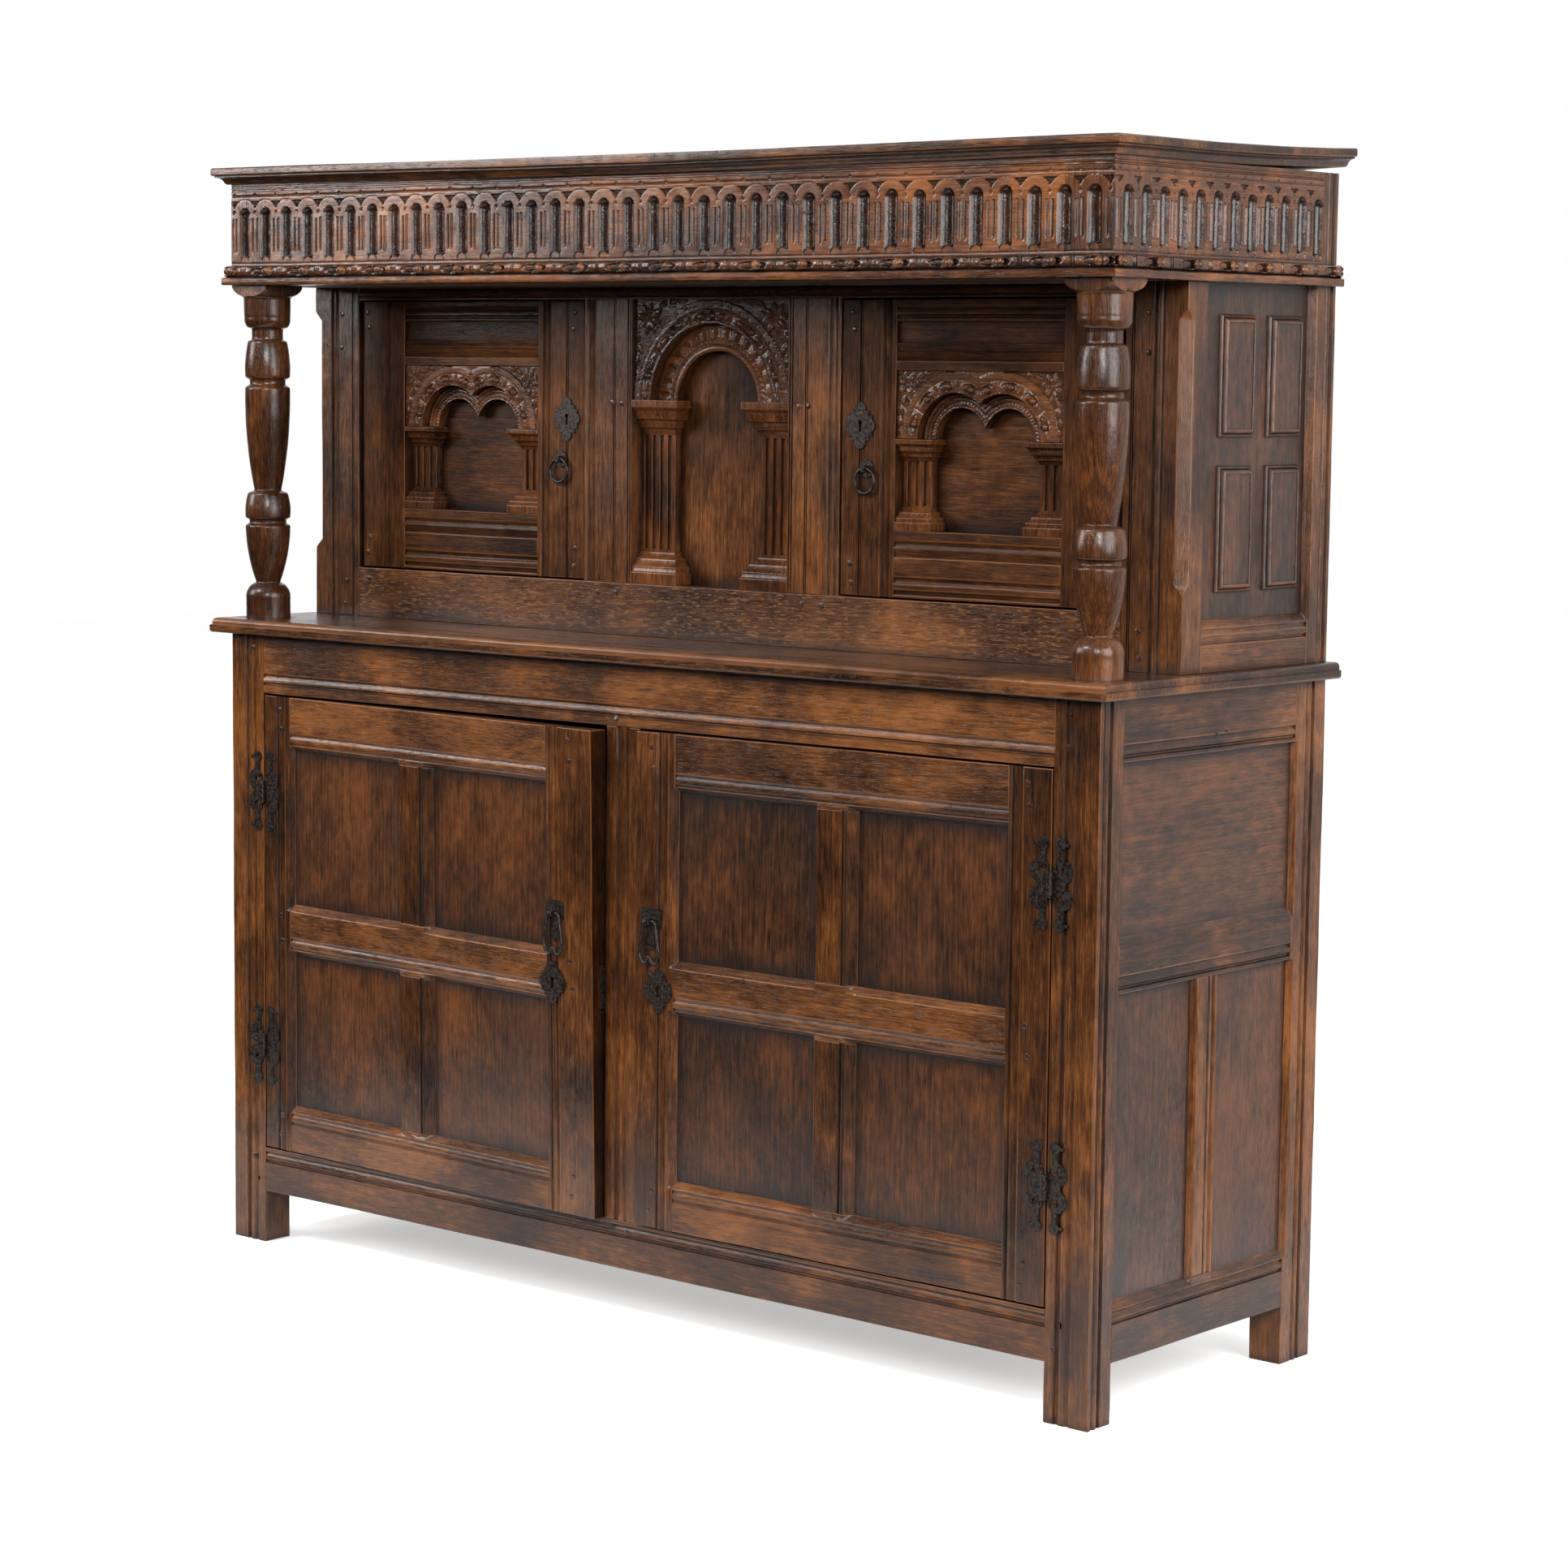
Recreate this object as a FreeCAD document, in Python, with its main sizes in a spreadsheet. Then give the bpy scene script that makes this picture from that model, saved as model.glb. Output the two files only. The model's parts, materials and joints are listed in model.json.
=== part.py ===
import FreeCAD, Part
import Sketcher
import math
import os

# Court cupboard of joined oak, in millimetres. While it is built, X runs to the viewer's right, Y runs
# from the front of the base to the back, and Z is up from the floor. At the end every piece moves so
# that the origin lies under the middle of the whole cupboard.

SIZES = {
    # Whole cupboard
    "base_width": 1620, "base_depth": 520, "base_height": 935, "upper_height": 675,
    # Joints shared by all frames: tenons, grooves for panels, and cuts that run past a face
    "tenon_thick": 10, "tenon_length": 34, "tenon_setback": 13, "tenon_shoulder": 11,
    "groove_deep": 8, "overrun": 5, "door_gap": 2.5, "running_gap": 0.3, "bore_gap": 0.08,
    # Base posts and rails
    "front_stile_wide": 70, "front_stile_deep": 50, "rear_stile_wide": 50, "rear_stile_deep": 72,
    "frame_thick": 38, "foot_height": 80, "top_rail_tall": 89, "bottom_rail_tall": 68, "muntin_wide": 62,
    "side_top_rail_tall": 82, "side_mid_rail_up": 478, "side_mid_rail_tall": 72, "side_bottom_rail_tall": 81,
    "side_muntin_wide": 53, "side_panel_sunk": 8, "panel_thick": 9, "side_chamfer": 13, "side_stop_chamfer": 7,
    "channel_wide": 25, "channel_deep": 3, "channel_inset": 30, "side_channel_wide": 20, "side_channel_inset": 7,
    "rail_mould_wide": 18, "rail_mould_inset": 12,
    # Inside of the base
    "board_thick": 18, "bearer_wide": 20, "bearer_tall": 22, "floor_drop": 2, "shelf_up": 358,
    "shelf_setback": 33, "back_board_thick": 12, "back_board_inset": 12, "back_rail_tall": 70,
    # Lower doors
    "door_thick": 30, "left_hinge_stile": 58, "left_lock_stile": 90, "right_lock_stile": 71,
    "right_hinge_stile": 68, "door_muntin_wide": 64, "door_top_rail_tall": 81, "door_mid_rail_up": 304,
    "door_mid_rail_tall": 77, "door_bottom_rail_tall": 70, "door_panel_sunk": 12, "door_chamfer": 12,
    "door_low_chamfer": 8, "door_top_chamfer": 10, "door_mould_wide": 19, "door_mould_deep": 2.5,
    "left_door_ajar": 1.95, "right_door_ajar": 0.75,
    # Cock's-head hinges
    "hinge_from_top": 149, "hinge_from_bottom": 160, "hinge_axis_out": 5, "knuckle_radius": 4.5, "hinge_pin_radius": 2.2,
    "knuckle_tall": 33, "middle_knuckle_tall": 13, "leaf_thick": 1.8, "leaf_reach": 33, "leaf_half_tall": 60,
    "leaf_neck_tall": 12, "leaf_ring_radius": 15, "leaf_ring_bore": 6.5, "leaf_head_radius": 8,
    # Drop handles and keyhole plates of the lower doors
    "plate_thick": 2, "drop_plate_wide": 36, "drop_plate_tall": 26, "drop_tail_wide": 13, "drop_tail_long": 34,
    "drop_wire_radius": 2.2, "drop_bar_long": 17, "drop_long": 58, "drop_wide": 36, "drop_out": 6.2,
    "drop_cusp": 9, "ear_wide": 6, "ear_tall": 9, "left_drop_inset": 73, "right_drop_inset": 31,
    "left_drop_up": 126, "right_drop_up": 130, "keyplate_wide": 42, "keyplate_tall": 38,
    "keyplate_lobe": 9, "left_key_inset": 78, "right_key_inset": 44, "left_key_up": 26,
    "right_key_up": 33, "key_round": 3.4, "key_slot_wide": 4, "key_slot_long": 13,
    # Locks
    "lock_wide": 62, "lock_tall": 64, "lock_let_in": 14, "bolt_thick": 5, "bolt_tall": 14, "bolt_long": 56,
    "bolt_setback": 17, "bolt_throw": 10, "bolt_hidden": 1, "keeper_front": 7,
    # Counter
    "counter_thick": 22, "counter_reach": 24, "nosing_deep": 10, "front_board_deep": 190,
    "middle_board_deep": 180,
    # Upper cupboard frame
    "upper_setback": 173, "upper_thick": 45, "upper_stile_wide": 96, "upper_rear_stile_deep": 52,
    "upper_rear_stile_wide": 50, "sill_tall": 75, "head_below_frieze": 19, "head_rail_tall": 62,
    "upper_muntin_wide": 93, "upper_muntin_edge": 147, "upper_chamfer": 14, "upper_chamfer_stop": 88,
    "upper_side_rail_tall": 68, "upper_side_chamfer": 11, "upper_panel_sunk": 12, "upper_stile_channel": 18,
    "field_border": 7, "field_raised": 8, "field_wide": 74, "field_up": 36, "field_low_tall": 159,
    "field_row_gap": 42, "field_high_tall": 153, "field_inset": 46, "field_gap": 38,
    # Centre bay
    "centre_panel_sunk": 34, "arch_order_thick": 14, "centre_arch_radius": 75, "centre_order_radius": 113,
    "centre_spring_down": 148, "centre_cap_down": 144, "centre_cap_tall": 47, "centre_base_tall": 46,
    "centre_cap_wide": 87, "centre_shaft_wide": 66, "shaft_out": 13,
    # Upper doors
    "upper_door_setback": 2, "upper_door_thick": 40, "upper_door_panel_sunk": 32, "upper_door_panel_thick": 7,
    "upper_hinge_stile": 96, "upper_lock_stile": 93, "upper_door_top_rail": 95, "upper_door_bottom_rail": 91,
    "pivot_inset": 12, "pivot_radius": 4, "pivot_grip": 14, "strip_sunk": 5,
    "twin_arch_radius": 43, "twin_order_radius": 63, "twin_half_pitch": 40, "twin_spring_down": 92.5,
    "door_cap_tall": 29, "door_cap_wide": 63, "door_shaft_wide": 49, "door_base_tall": 31,
    "upper_key_inset": 33, "upper_key_up": 234, "upper_keyplate_wide": 42, "upper_keyplate_tall": 40,
    "ring_inset": 45, "ring_up": 176, "ring_radius": 17, "ring_wire_radius": 2,
    "ring_plate_radius": 12, "ring_out": 5.6,
    # Frieze, posts and band
    "frieze_over": 1.5, "frieze_front": 4, "frieze_tall": 150, "frieze_thick": 30, "post_square": 75,
    "post_tenon_radius": 12, "post_tenon_long": 18, "side_frieze_short": 38,
    "flute_radius": 11, "flute_centre_out": 2, "flute_foot_up": 41, "flute_top_down": 35, "flute_inset": 29.5,
    "side_flute_inset": 31, "side_flute_rear_gap": 12.5, "band_out": 11, "band_tall": 29, "soffit_thick": 10,
    # Top boards
    "top_thick": 24, "top_reach": 22, "top_rear_reach": 6, "cove_deep": 17,
}
FRONT_FLUTES, SIDE_FLUTES, BACK_BOARDS = 35, 12, 6

# Cross-sections of the scratched mouldings, as shares of a run's width and depth
channel_shares = ((0, 0), (0.06, 1), (0.24, 1), (0.32, 0.25), (0.5, 0), (0.68, 0.25), (0.76, 1), (0.94, 1), (1, 0))
scratch_shares = ((0, 0), (0.08, 1), (0.2, 1), (0.3, 0.2), (0.6, 0.2), (0.72, 1), (0.84, 1), (1, 0))
ogee_shares = ((0, 0), (0.1, 1), (0.28, 0.9), (0.42, 0.25), (0.58, 0.1), (0.68, 0.8), (0.82, 1), (1, 0))

doc = FreeCAD.newDocument("court_cupboard")
sheet = doc.addObject("Spreadsheet::Sheet", "Sizes")
for row, (alias, number) in enumerate(SIZES.items(), 1):
    sheet.set(f"A{row}", alias)
    sheet.set(f"B{row}", str(number))
    sheet.setAlias(f"B{row}", alias)
doc.recompute()
V = FreeCAD.Vector


class Size:
    """A length worked out from cells of the sheet: it keeps the formula beside its value."""

    def __init__(self, text, value):
        self.text, self.value = text, float(value)

    def joined(self, other, sign, value):
        other = as_size(other)
        return Size(f"({self.text} {sign} {other.text})", value(self.value, other.value))

    def __add__(self, other):
        return self.joined(other, "+", lambda a, b: a + b)

    def __sub__(self, other):
        return self.joined(other, "-", lambda a, b: a - b)

    def __mul__(self, other):
        return self.joined(other, "*", lambda a, b: a * b)

    def __truediv__(self, other):
        return self.joined(other, "/", lambda a, b: a / b)

    def __neg__(self):
        return Size(f"(0 - {self.text})", -self.value)


def as_size(value):
    return value if isinstance(value, Size) else Size(repr(value), value)


class Cells:
    """Reads a named cell as a Size, so that s.base_width stands for that cell in every formula."""

    def __getattr__(self, alias):
        return Size("Sizes." + alias, sheet.get(alias))


s = Cells()
NONE = as_size(0)
half = s.base_width / 2
frieze_half = half + s.frieze_over
counter_top = s.base_height + s.counter_thick
top_high = counter_top + s.upper_height
top_low = top_high - s.top_thick
frieze_low = top_low - s.frieze_tall
TURNED = {"front": FreeCAD.Rotation(), "side": FreeCAD.Rotation(V(0, 0, 1), 90)}
LAID = FreeCAD.Rotation(V(0, 1, 0), -90)
NODES = []


# Making and placing pieces

def bind(thing, field, size):
    thing.setExpression(field, as_size(size).text)


def put(thing, face, along, deep, up, laid=False):
    """Place a piece on a face of the cupboard: along it, deep into it and up from the floor."""
    x, y = (along, deep) if face == "front" else (half - deep, along)
    turn = TURNED[face].multiply(LAID) if laid else TURNED[face]
    thing.Placement = FreeCAD.Placement(V(), turn)
    for letter, size in zip("xyz", (x, y, up)):
        bind(thing, "Placement.Base." + letter, size)
    return thing


def block(name, along, deep, up, face="front"):
    """A squared piece between two values along the face, two into it and two up."""
    thing = doc.addObject("Part::Box", name)
    for field, span in zip(("Length", "Width", "Height"), (along, deep, up)):
        bind(thing, field, span[1] - span[0])
    return put(thing, face, along[0], deep[0], up[0])


def section(wide, thick, runs=(), side_runs=()):
    """Outline of a squared member with moulding runs on its face and on its right-hand side."""
    points = [(NONE, NONE)]
    for start, width, depth, shares in runs:
        points += [(start + width * across, depth * sunk) for across, sunk in shares]
    points.append((wide, NONE))
    for start, width, depth, shares in side_runs:
        points += [(wide - depth * sunk, start + width * across) for across, sunk in shares]
    return points + [(wide, thick), (NONE, thick)]


def outline_sketch(body, points, role):
    """A closed sketch through the points; a third value on a point is the rise of an arc that ends there."""
    sketch = body.newObject("Sketcher::SketchObject", "outline")
    plane = [item for item in body.Origin.OriginFeatures if item.Role == role][0]
    sketch.AttachmentSupport = (plane, "")
    sketch.MapMode = "FlatFace"
    starts, radii = [], []
    count = len(points)
    for number in range(count):
        here, there = points[number], points[(number + 1) % count]
        a, b = V(here[0].value, here[1].value), V(there[0].value, there[1].value)
        rise = there[2] if len(there) > 2 else None
        if rise is None:
            sketch.addGeometry(Part.LineSegment(a, b))
            starts.append((1, 2))
            continue
        across, up = there[0] - here[0], there[1] - here[1]
        radius = ((across * across + up * up) / 4 + rise * rise) / (rise * 2)
        chord = (b - a).normalize()
        right = V(chord.y, -chord.x)
        centre = (a + b) / 2 - right * (radius.value - rise.value)
        ends = (a, b) if rise.value > 0 else (b, a)
        first, last = [math.atan2(end.y - centre.y, end.x - centre.x) for end in ends]
        if last < first:
            last += 2 * math.pi
        circle = Part.Circle(centre, V(0, 0, 1), abs(radius.value))
        sketch.addGeometry(Part.ArcOfCircle(circle, first, last))
        starts.append((1, 2) if rise.value > 0 else (2, 1))
        radii.append((number, radius if rise.value > 0 else -radius))
    rules = [Sketcher.Constraint("Coincident", number, starts[number][1], (number + 1) % count,
                                 starts[(number + 1) % count][0]) for number in range(count)]
    formulas = {}
    for number, point in enumerate(points):
        for kind, size in (("DistanceX", point[0]), ("DistanceY", point[1])):
            formulas[len(rules)] = size.text
            rules.append(Sketcher.Constraint(kind, -1, 1, number, starts[number][0], size.value))
    for number, radius in radii:
        formulas[len(rules)] = radius.text
        rules.append(Sketcher.Constraint("Radius", number, radius.value))
    sketch.addConstraint(rules)
    for index, formula in formulas.items():
        sketch.setExpression(f"Constraints[{index}]", formula)
    return sketch


def member(name, points, length, face, along, deep, up, laid=False):
    """A length of wood with one cross-section: standing on its foot, or laid with its foot to the right."""
    body = doc.addObject("PartDesign::Body", name)
    sketch = outline_sketch(body, points, "XY_Plane")
    pad = body.newObject("PartDesign::Pad", "length")
    pad.Profile = sketch
    bind(pad, "Length", length)
    return put(body, face, along, deep, up, laid)


def upright(name, along, deep, up, wide, thick, face="front", runs=(), side_runs=()):
    points = section(wide, thick, runs, side_runs)
    return member(name, points, up[1] - up[0], face, along, deep, up[0])


def rail(name, along, deep, up, thick, face="front", runs=()):
    """A level member between two values along the face; its runs are measured up from its lower edge."""
    points = section(up[1] - up[0], thick, runs)
    return member(name, points, along[1] - along[0], face, along[1], deep, up[0], laid=True)


def tongue(name, along, deep, up, face="front"):
    """The tenons of a rail, as one strip that runs through it and out at both ends."""
    low, high = up[0] + s.tenon_shoulder, up[1] - s.tenon_shoulder
    reach = (along[0] - s.tenon_length, along[1] + s.tenon_length)
    start = deep + s.tenon_setback
    return block(name, reach, (start, start + s.tenon_thick), (low, high), face)


def standing_tongue(name, along, deep, up, face="front"):
    """The tenons of a muntin, as one strip through it and out at the top and bottom."""
    sides = (along[0] + s.tenon_shoulder, along[1] - s.tenon_shoulder)
    start = deep + s.tenon_setback
    reach = (up[0] - s.groove_deep * 3, up[1] + s.groove_deep * 3)
    return block(name, sides, (start, start + s.tenon_thick), reach, face)


def panel(name, along, deep, up, thick, face="front"):
    """A board whose edges stand in the grooves of its frame."""
    sides = (along[0] - s.groove_deep, along[1] + s.groove_deep)
    return block(name, sides, (deep, deep + thick), (up[0] - s.groove_deep, up[1] + s.groove_deep), face)


def chamfer(name, along, deep, up, sunk, left, right, below, above, face="front"):
    """A cutter for the sloped edges round a panel, each side with its own width of slope."""
    tool = doc.addObject("Part::Wedge", name)
    out = s.overrun
    for field, size in (
            ("Xmin", -(left * (sunk + out) / sunk)), ("Xmax", along[1] - along[0] + right * (sunk + out) / sunk),
            ("Ymin", NONE), ("Ymax", sunk + out),
            ("Zmin", -(below * (sunk + out) / sunk)), ("Zmax", up[1] - up[0] + above * (sunk + out) / sunk),
            ("X2min", NONE), ("X2max", along[1] - along[0]), ("Z2min", NONE), ("Z2max", up[1] - up[0])):
        bind(tool, field, size)
    return put(tool, face, along[0], deep - out, up[0])


def together(name, pieces):
    if len(pieces) == 1:
        return pieces[0]
    group = doc.addObject("Part::Compound", name)
    group.Links = list(pieces)
    return group


def fused(name, pieces):
    thing = doc.addObject("Part::MultiFuse", name)
    thing.Shapes = list(pieces)
    return thing


def cut(base, *tools):
    """Take the tools away from a piece; a tool may be used on any number of pieces."""
    thing = doc.addObject("Part::Cut", base.Name)
    thing.Base, thing.Tool = base, together("tools", tools)
    return thing


def common(first, second):
    thing = doc.addObject("Part::Common", first.Name)
    thing.Base, thing.Tool = first, second
    return thing


def mirrored(piece):
    thing = doc.addObject("Part::Mirroring", piece.Name)
    thing.Source = piece
    thing.Normal = V(1, 0, 0)
    return thing


def pair(piece):
    return [piece, mirrored(piece)]


def rod(name, radius, length, x, y, z, axis="Z"):
    """A round bar that starts at a point and runs along an axis."""
    thing = doc.addObject("Part::Cylinder", name)
    bind(thing, "Radius", radius)
    bind(thing, "Height", length)
    turns = {"Z": FreeCAD.Rotation(), "X": FreeCAD.Rotation(V(0, 1, 0), 90),
             "Y": FreeCAD.Rotation(V(1, 0, 0), -90)}
    thing.Placement = FreeCAD.Placement(V(), turns[axis])
    for letter, size in zip("xyz", (x, y, z)):
        bind(thing, "Placement.Base." + letter, size)
    return thing


def node(label, pieces, group="fixed"):
    thing = doc.addObject("Part::Compound", label)
    thing.Links = list(pieces)
    thing.Label = label
    NODES.append((thing, group))
    return thing


# Base: posts, rails and panels of the closed lower stage

stile_x = half - s.front_stile_wide
rear_y = s.base_depth - s.rear_stile_deep
floor_z = s.foot_height
door_low = s.foot_height + s.bottom_rail_tall
door_high = s.base_height - s.top_rail_tall
muntin_half = s.muntin_wide / 2
mid_rail_low = door_low + s.door_mid_rail_up
left_key_z, right_key_z = mid_rail_low + s.left_key_up, mid_rail_low + s.right_key_up
front_channel = (s.channel_inset / 2, s.channel_wide, s.channel_deep, channel_shares)
side_channel = (s.side_channel_inset, s.side_channel_wide, s.channel_deep, channel_shares)

front_rails = []
front_tongues = []
for name, low, high, inset in (("top", door_high, s.base_height, s.rail_mould_inset),
                               ("bottom", floor_z, door_low, s.bottom_rail_tall - s.rail_mould_wide * 1.3)):
    run = (inset, s.rail_mould_wide, s.channel_deep, scratch_shares)
    bar = rail("front_rail", (-stile_x, stile_x), NONE, (low, high), s.frame_thick, runs=[run])
    strip = tongue("front_tenons", (-stile_x, stile_x), NONE, (low, high))
    front_tongues.append(strip)
    front_rails.append(fused("joined_front_rail", [bar, strip]))

muntin_run = ((s.muntin_wide - s.channel_wide) / 2, s.channel_wide, s.channel_deep, channel_shares)
base_muntin = upright("centre_muntin", -muntin_half, NONE, (door_low, door_high), s.muntin_wide,
                      s.frame_thick, runs=[muntin_run])
base_muntin_strip = standing_tongue("muntin_tenons", (-muntin_half, muntin_half), NONE, (door_low, door_high))
base_muntin = fused("joined_muntin", [base_muntin, base_muntin_strip])
front_rails = [cut(bar, base_muntin_strip) for bar in front_rails]

base_front_stile = upright("base_front_stile", stile_x, NONE, (NONE, s.base_height), s.front_stile_wide,
                           s.front_stile_deep, runs=[front_channel], side_runs=[side_channel])
side_channel_rear = (s.rear_stile_deep - s.side_channel_inset - s.side_channel_wide * 2, s.side_channel_wide,
                     s.channel_deep, channel_shares)
base_rear_stile = upright("base_rear_stile", rear_y, NONE, (NONE, s.base_height), s.rear_stile_deep,
                          s.rear_stile_wide, face="side", runs=[side_channel_rear])

side_span = (s.front_stile_deep, rear_y)
side_top = (s.base_height - s.side_top_rail_tall, s.base_height)
side_mid = (floor_z + s.side_mid_rail_up, floor_z + s.side_mid_rail_up + s.side_mid_rail_tall)
side_bottom = (floor_z, floor_z + s.side_bottom_rail_tall)
side_rails, side_tongues = [], []
for name, up, inset in (("top", side_top, NONE + s.overrun), ("mid", side_mid, NONE + s.overrun),
                        ("bottom", side_bottom, s.side_bottom_rail_tall - s.side_chamfer - s.rail_mould_wide)):
    run = (inset, s.rail_mould_wide, s.channel_deep, scratch_shares)
    bar = rail("side_rail", side_span, NONE, up, s.frame_thick, face="side", runs=[run])
    strip = tongue("side_tenons", side_span, NONE, up, face="side")
    side_tongues.append(strip)
    side_rails.append(fused("joined_side_rail", [bar, strip]))

side_middle = (side_span[0] + side_span[1]) / 2
side_muntin_span = (side_middle - s.side_muntin_wide / 2, side_middle + s.side_muntin_wide / 2)
side_muntin_run = (s.side_muntin_wide - s.rail_mould_wide - s.overrun, s.rail_mould_wide, s.channel_deep,
                   scratch_shares)
side_muntin = upright("side_muntin", side_muntin_span[0], NONE, (side_bottom[1], side_mid[0]),
                      s.side_muntin_wide, s.frame_thick, face="side", runs=[side_muntin_run])
side_muntin_strip = standing_tongue("side_muntin_tenons", side_muntin_span, NONE, (side_bottom[1], side_mid[0]),
                                    face="side")
side_muntin = fused("joined_side_muntin", [side_muntin, side_muntin_strip])

side_panels, side_edges = [], []
for along, up in ((side_span, (side_mid[1], side_top[0])),
                  ((side_span[0], side_muntin_span[0]), (side_bottom[1], side_mid[0])),
                  ((side_muntin_span[1], side_span[1]), (side_bottom[1], side_mid[0]))):
    side_panels.append(panel("side_panel", along, s.side_panel_sunk, up, s.panel_thick, face="side"))
    side_edges.append(chamfer("side_slope", along, NONE, up, s.side_panel_sunk, NONE, s.side_stop_chamfer,
                              s.side_chamfer, NONE, face="side"))
panel_tools = together("side_panel_tools", side_panels)
edge_tools = together("side_edge_tools", side_edges)
side_rails = [cut(bar, panel_tools, edge_tools, side_muntin_strip) for bar in side_rails]
side_muntin = cut(side_muntin, panel_tools, edge_tools)

# The tenons of the front and side rails meet inside the corner post, so the side ones stop short there
side_tenon_tools = together("side_tenon_tools", side_tongues)
front_tenon_tools = together("front_tenon_tools", front_tongues)
side_rails = [cut(bar, front_tenon_tools) for bar in side_rails]

# Back of the base: two rails, with upright boards in their grooves

back_y = s.base_depth - s.frame_thick
back_half = half - s.rear_stile_wide
back_rails, back_tongues = [], []
for up in ((s.base_height - s.back_rail_tall, s.base_height), (floor_z, floor_z + s.back_rail_tall)):
    bar = block("back_rail", (-back_half, back_half), (back_y, s.base_depth), up)
    strip = tongue("back_tenons", (-back_half, back_half), back_y, up)
    back_tongues.append(strip)
    back_rails.append(fused("joined_back_rail", [bar, strip]))
back_tenon_tools = together("back_tenon_tools", back_tongues)


def back_boards(half_wide, low, high):
    """Upright boards edge to edge, their ends in the rails and their outer edges in the stiles."""
    front = s.base_depth - s.back_board_inset - s.back_board_thick
    left, wide = -(half_wide + s.groove_deep), (half_wide + s.groove_deep) * 2 / BACK_BOARDS
    up = (low - s.groove_deep, high + s.groove_deep)
    return [block("back_board", (left + wide * number, left + wide * (number + 1)),
                  (front, front + s.back_board_thick), up) for number in range(BACK_BOARDS)]


base_back_boards = back_boards(back_half, floor_z + s.back_rail_tall, s.base_height - s.back_rail_tall)
base_back_tools = together("base_back_tools", base_back_boards)
back_rails = [cut(bar, base_back_tools) for bar in back_rails]
base_rear_stile = cut(base_rear_stile, side_tenon_tools, panel_tools, edge_tools, back_tenon_tools,
                      base_back_tools)
back_rails = [cut(bar, side_tenon_tools, mirrored(side_tenon_tools)) for bar in back_rails]
base_front_stile = cut(base_front_stile, front_tenon_tools, side_tenon_tools, panel_tools)

# The keeper holes for the lower bolts, one each side of the centre muntin


def keeper(name, edge, inward, height, front_y):
    """A hole in the edge of a muntin that a bolt slides into; inward is 1 when the muntin lies to the right."""
    deep = s.bolt_throw + s.bolt_hidden
    ends = (edge, edge + deep) if inward > 0 else (edge - deep, edge)
    tall = s.bolt_tall / 2 + s.running_gap * 5
    back = s.bolt_setback + s.bolt_thick + s.running_gap * 5
    return block(name, ends, (front_y + s.keeper_front, front_y + back), (height - tall, height + tall))


base_muntin = cut(base_muntin, keeper("left_keeper", -muntin_half, 1, left_key_z, NONE),
                  keeper("right_keeper", muntin_half, -1, right_key_z, NONE))

# Inside of the base: floor boards and a shelf on bearers nailed to the rails and stiles

inner_half = half - s.frame_thick
floor_top = door_low - s.floor_drop
shelf_top = floor_top + s.shelf_up
inner_front = s.frame_thick
inner_back = s.base_depth - s.back_board_inset - s.back_board_thick
corner_tools = together("corner_tools", pair(
    block("front_corner", (stile_x, half), (NONE, s.front_stile_deep), (NONE, s.base_height)))
    + pair(block("rear_corner", (back_half, half), (rear_y, s.base_depth), (NONE, s.base_height))))
muntin_tool = block("muntin_room", (-muntin_half, muntin_half), (NONE, s.frame_thick), (door_low, door_high))
back_rail_room = block("back_rail_room", (-back_half, back_half), (back_y, s.base_depth),
                       (floor_z, floor_z + s.back_rail_tall))


def level_boards(name, front, back, top, *tools):
    """Three boards laid along the cupboard, notched round the corner posts."""
    deep = (back - front) / 3
    boards = [block(name, (-inner_half, inner_half), (front + deep * number, front + deep * (number + 1)),
                    (top - s.board_thick, top)) for number in range(3)]
    return [cut(board, corner_tools, *tools) for board in boards]


floor_boards = level_boards("floor_board", inner_front, inner_back, floor_top, back_rail_room)
shelf_boards = level_boards("shelf_board", s.shelf_setback, inner_back, shelf_top, muntin_tool)
floor_under = floor_top - s.board_thick
shelf_under = shelf_top - s.board_thick
bearers = [block("front_bearer", (-stile_x, stile_x), (inner_front, inner_front + s.bearer_wide),
                 (floor_under - s.bearer_tall, floor_under)),
           block("back_bearer", (-back_half, back_half), (back_y - s.bearer_wide, back_y),
                 (floor_under - s.bearer_tall, floor_under))]
for under in (floor_under, shelf_under):
    bearers += pair(block("side_bearer", (inner_half - s.bearer_wide, inner_half),
                          (s.front_stile_deep + s.overrun * 2, rear_y - s.bearer_wide),
                          (under - s.bearer_tall, under)))

node("base_front_stiles", pair(base_front_stile))
node("base_rear_stiles", pair(base_rear_stile))
node("base_front_rails", front_rails)
node("base_muntins", [base_muntin] + pair(side_muntin))
node("base_side_rails", [piece for bar in side_rails for piece in pair(bar)])
node("base_side_panels", [piece for board in side_panels for piece in pair(board)])
node("base_floor_boards", floor_boards)
node("base_shelf_boards", shelf_boards)
node("bearers", bearers)

# Cock's-head hinges: shaped iron leaves on the face of stile and door, three knuckles on one pin

axis_x = stile_x - s.door_gap / 2
axis_y = -s.hinge_axis_out
hinge_high, hinge_low = door_high - s.hinge_from_top, door_low + s.hinge_from_bottom


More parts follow.
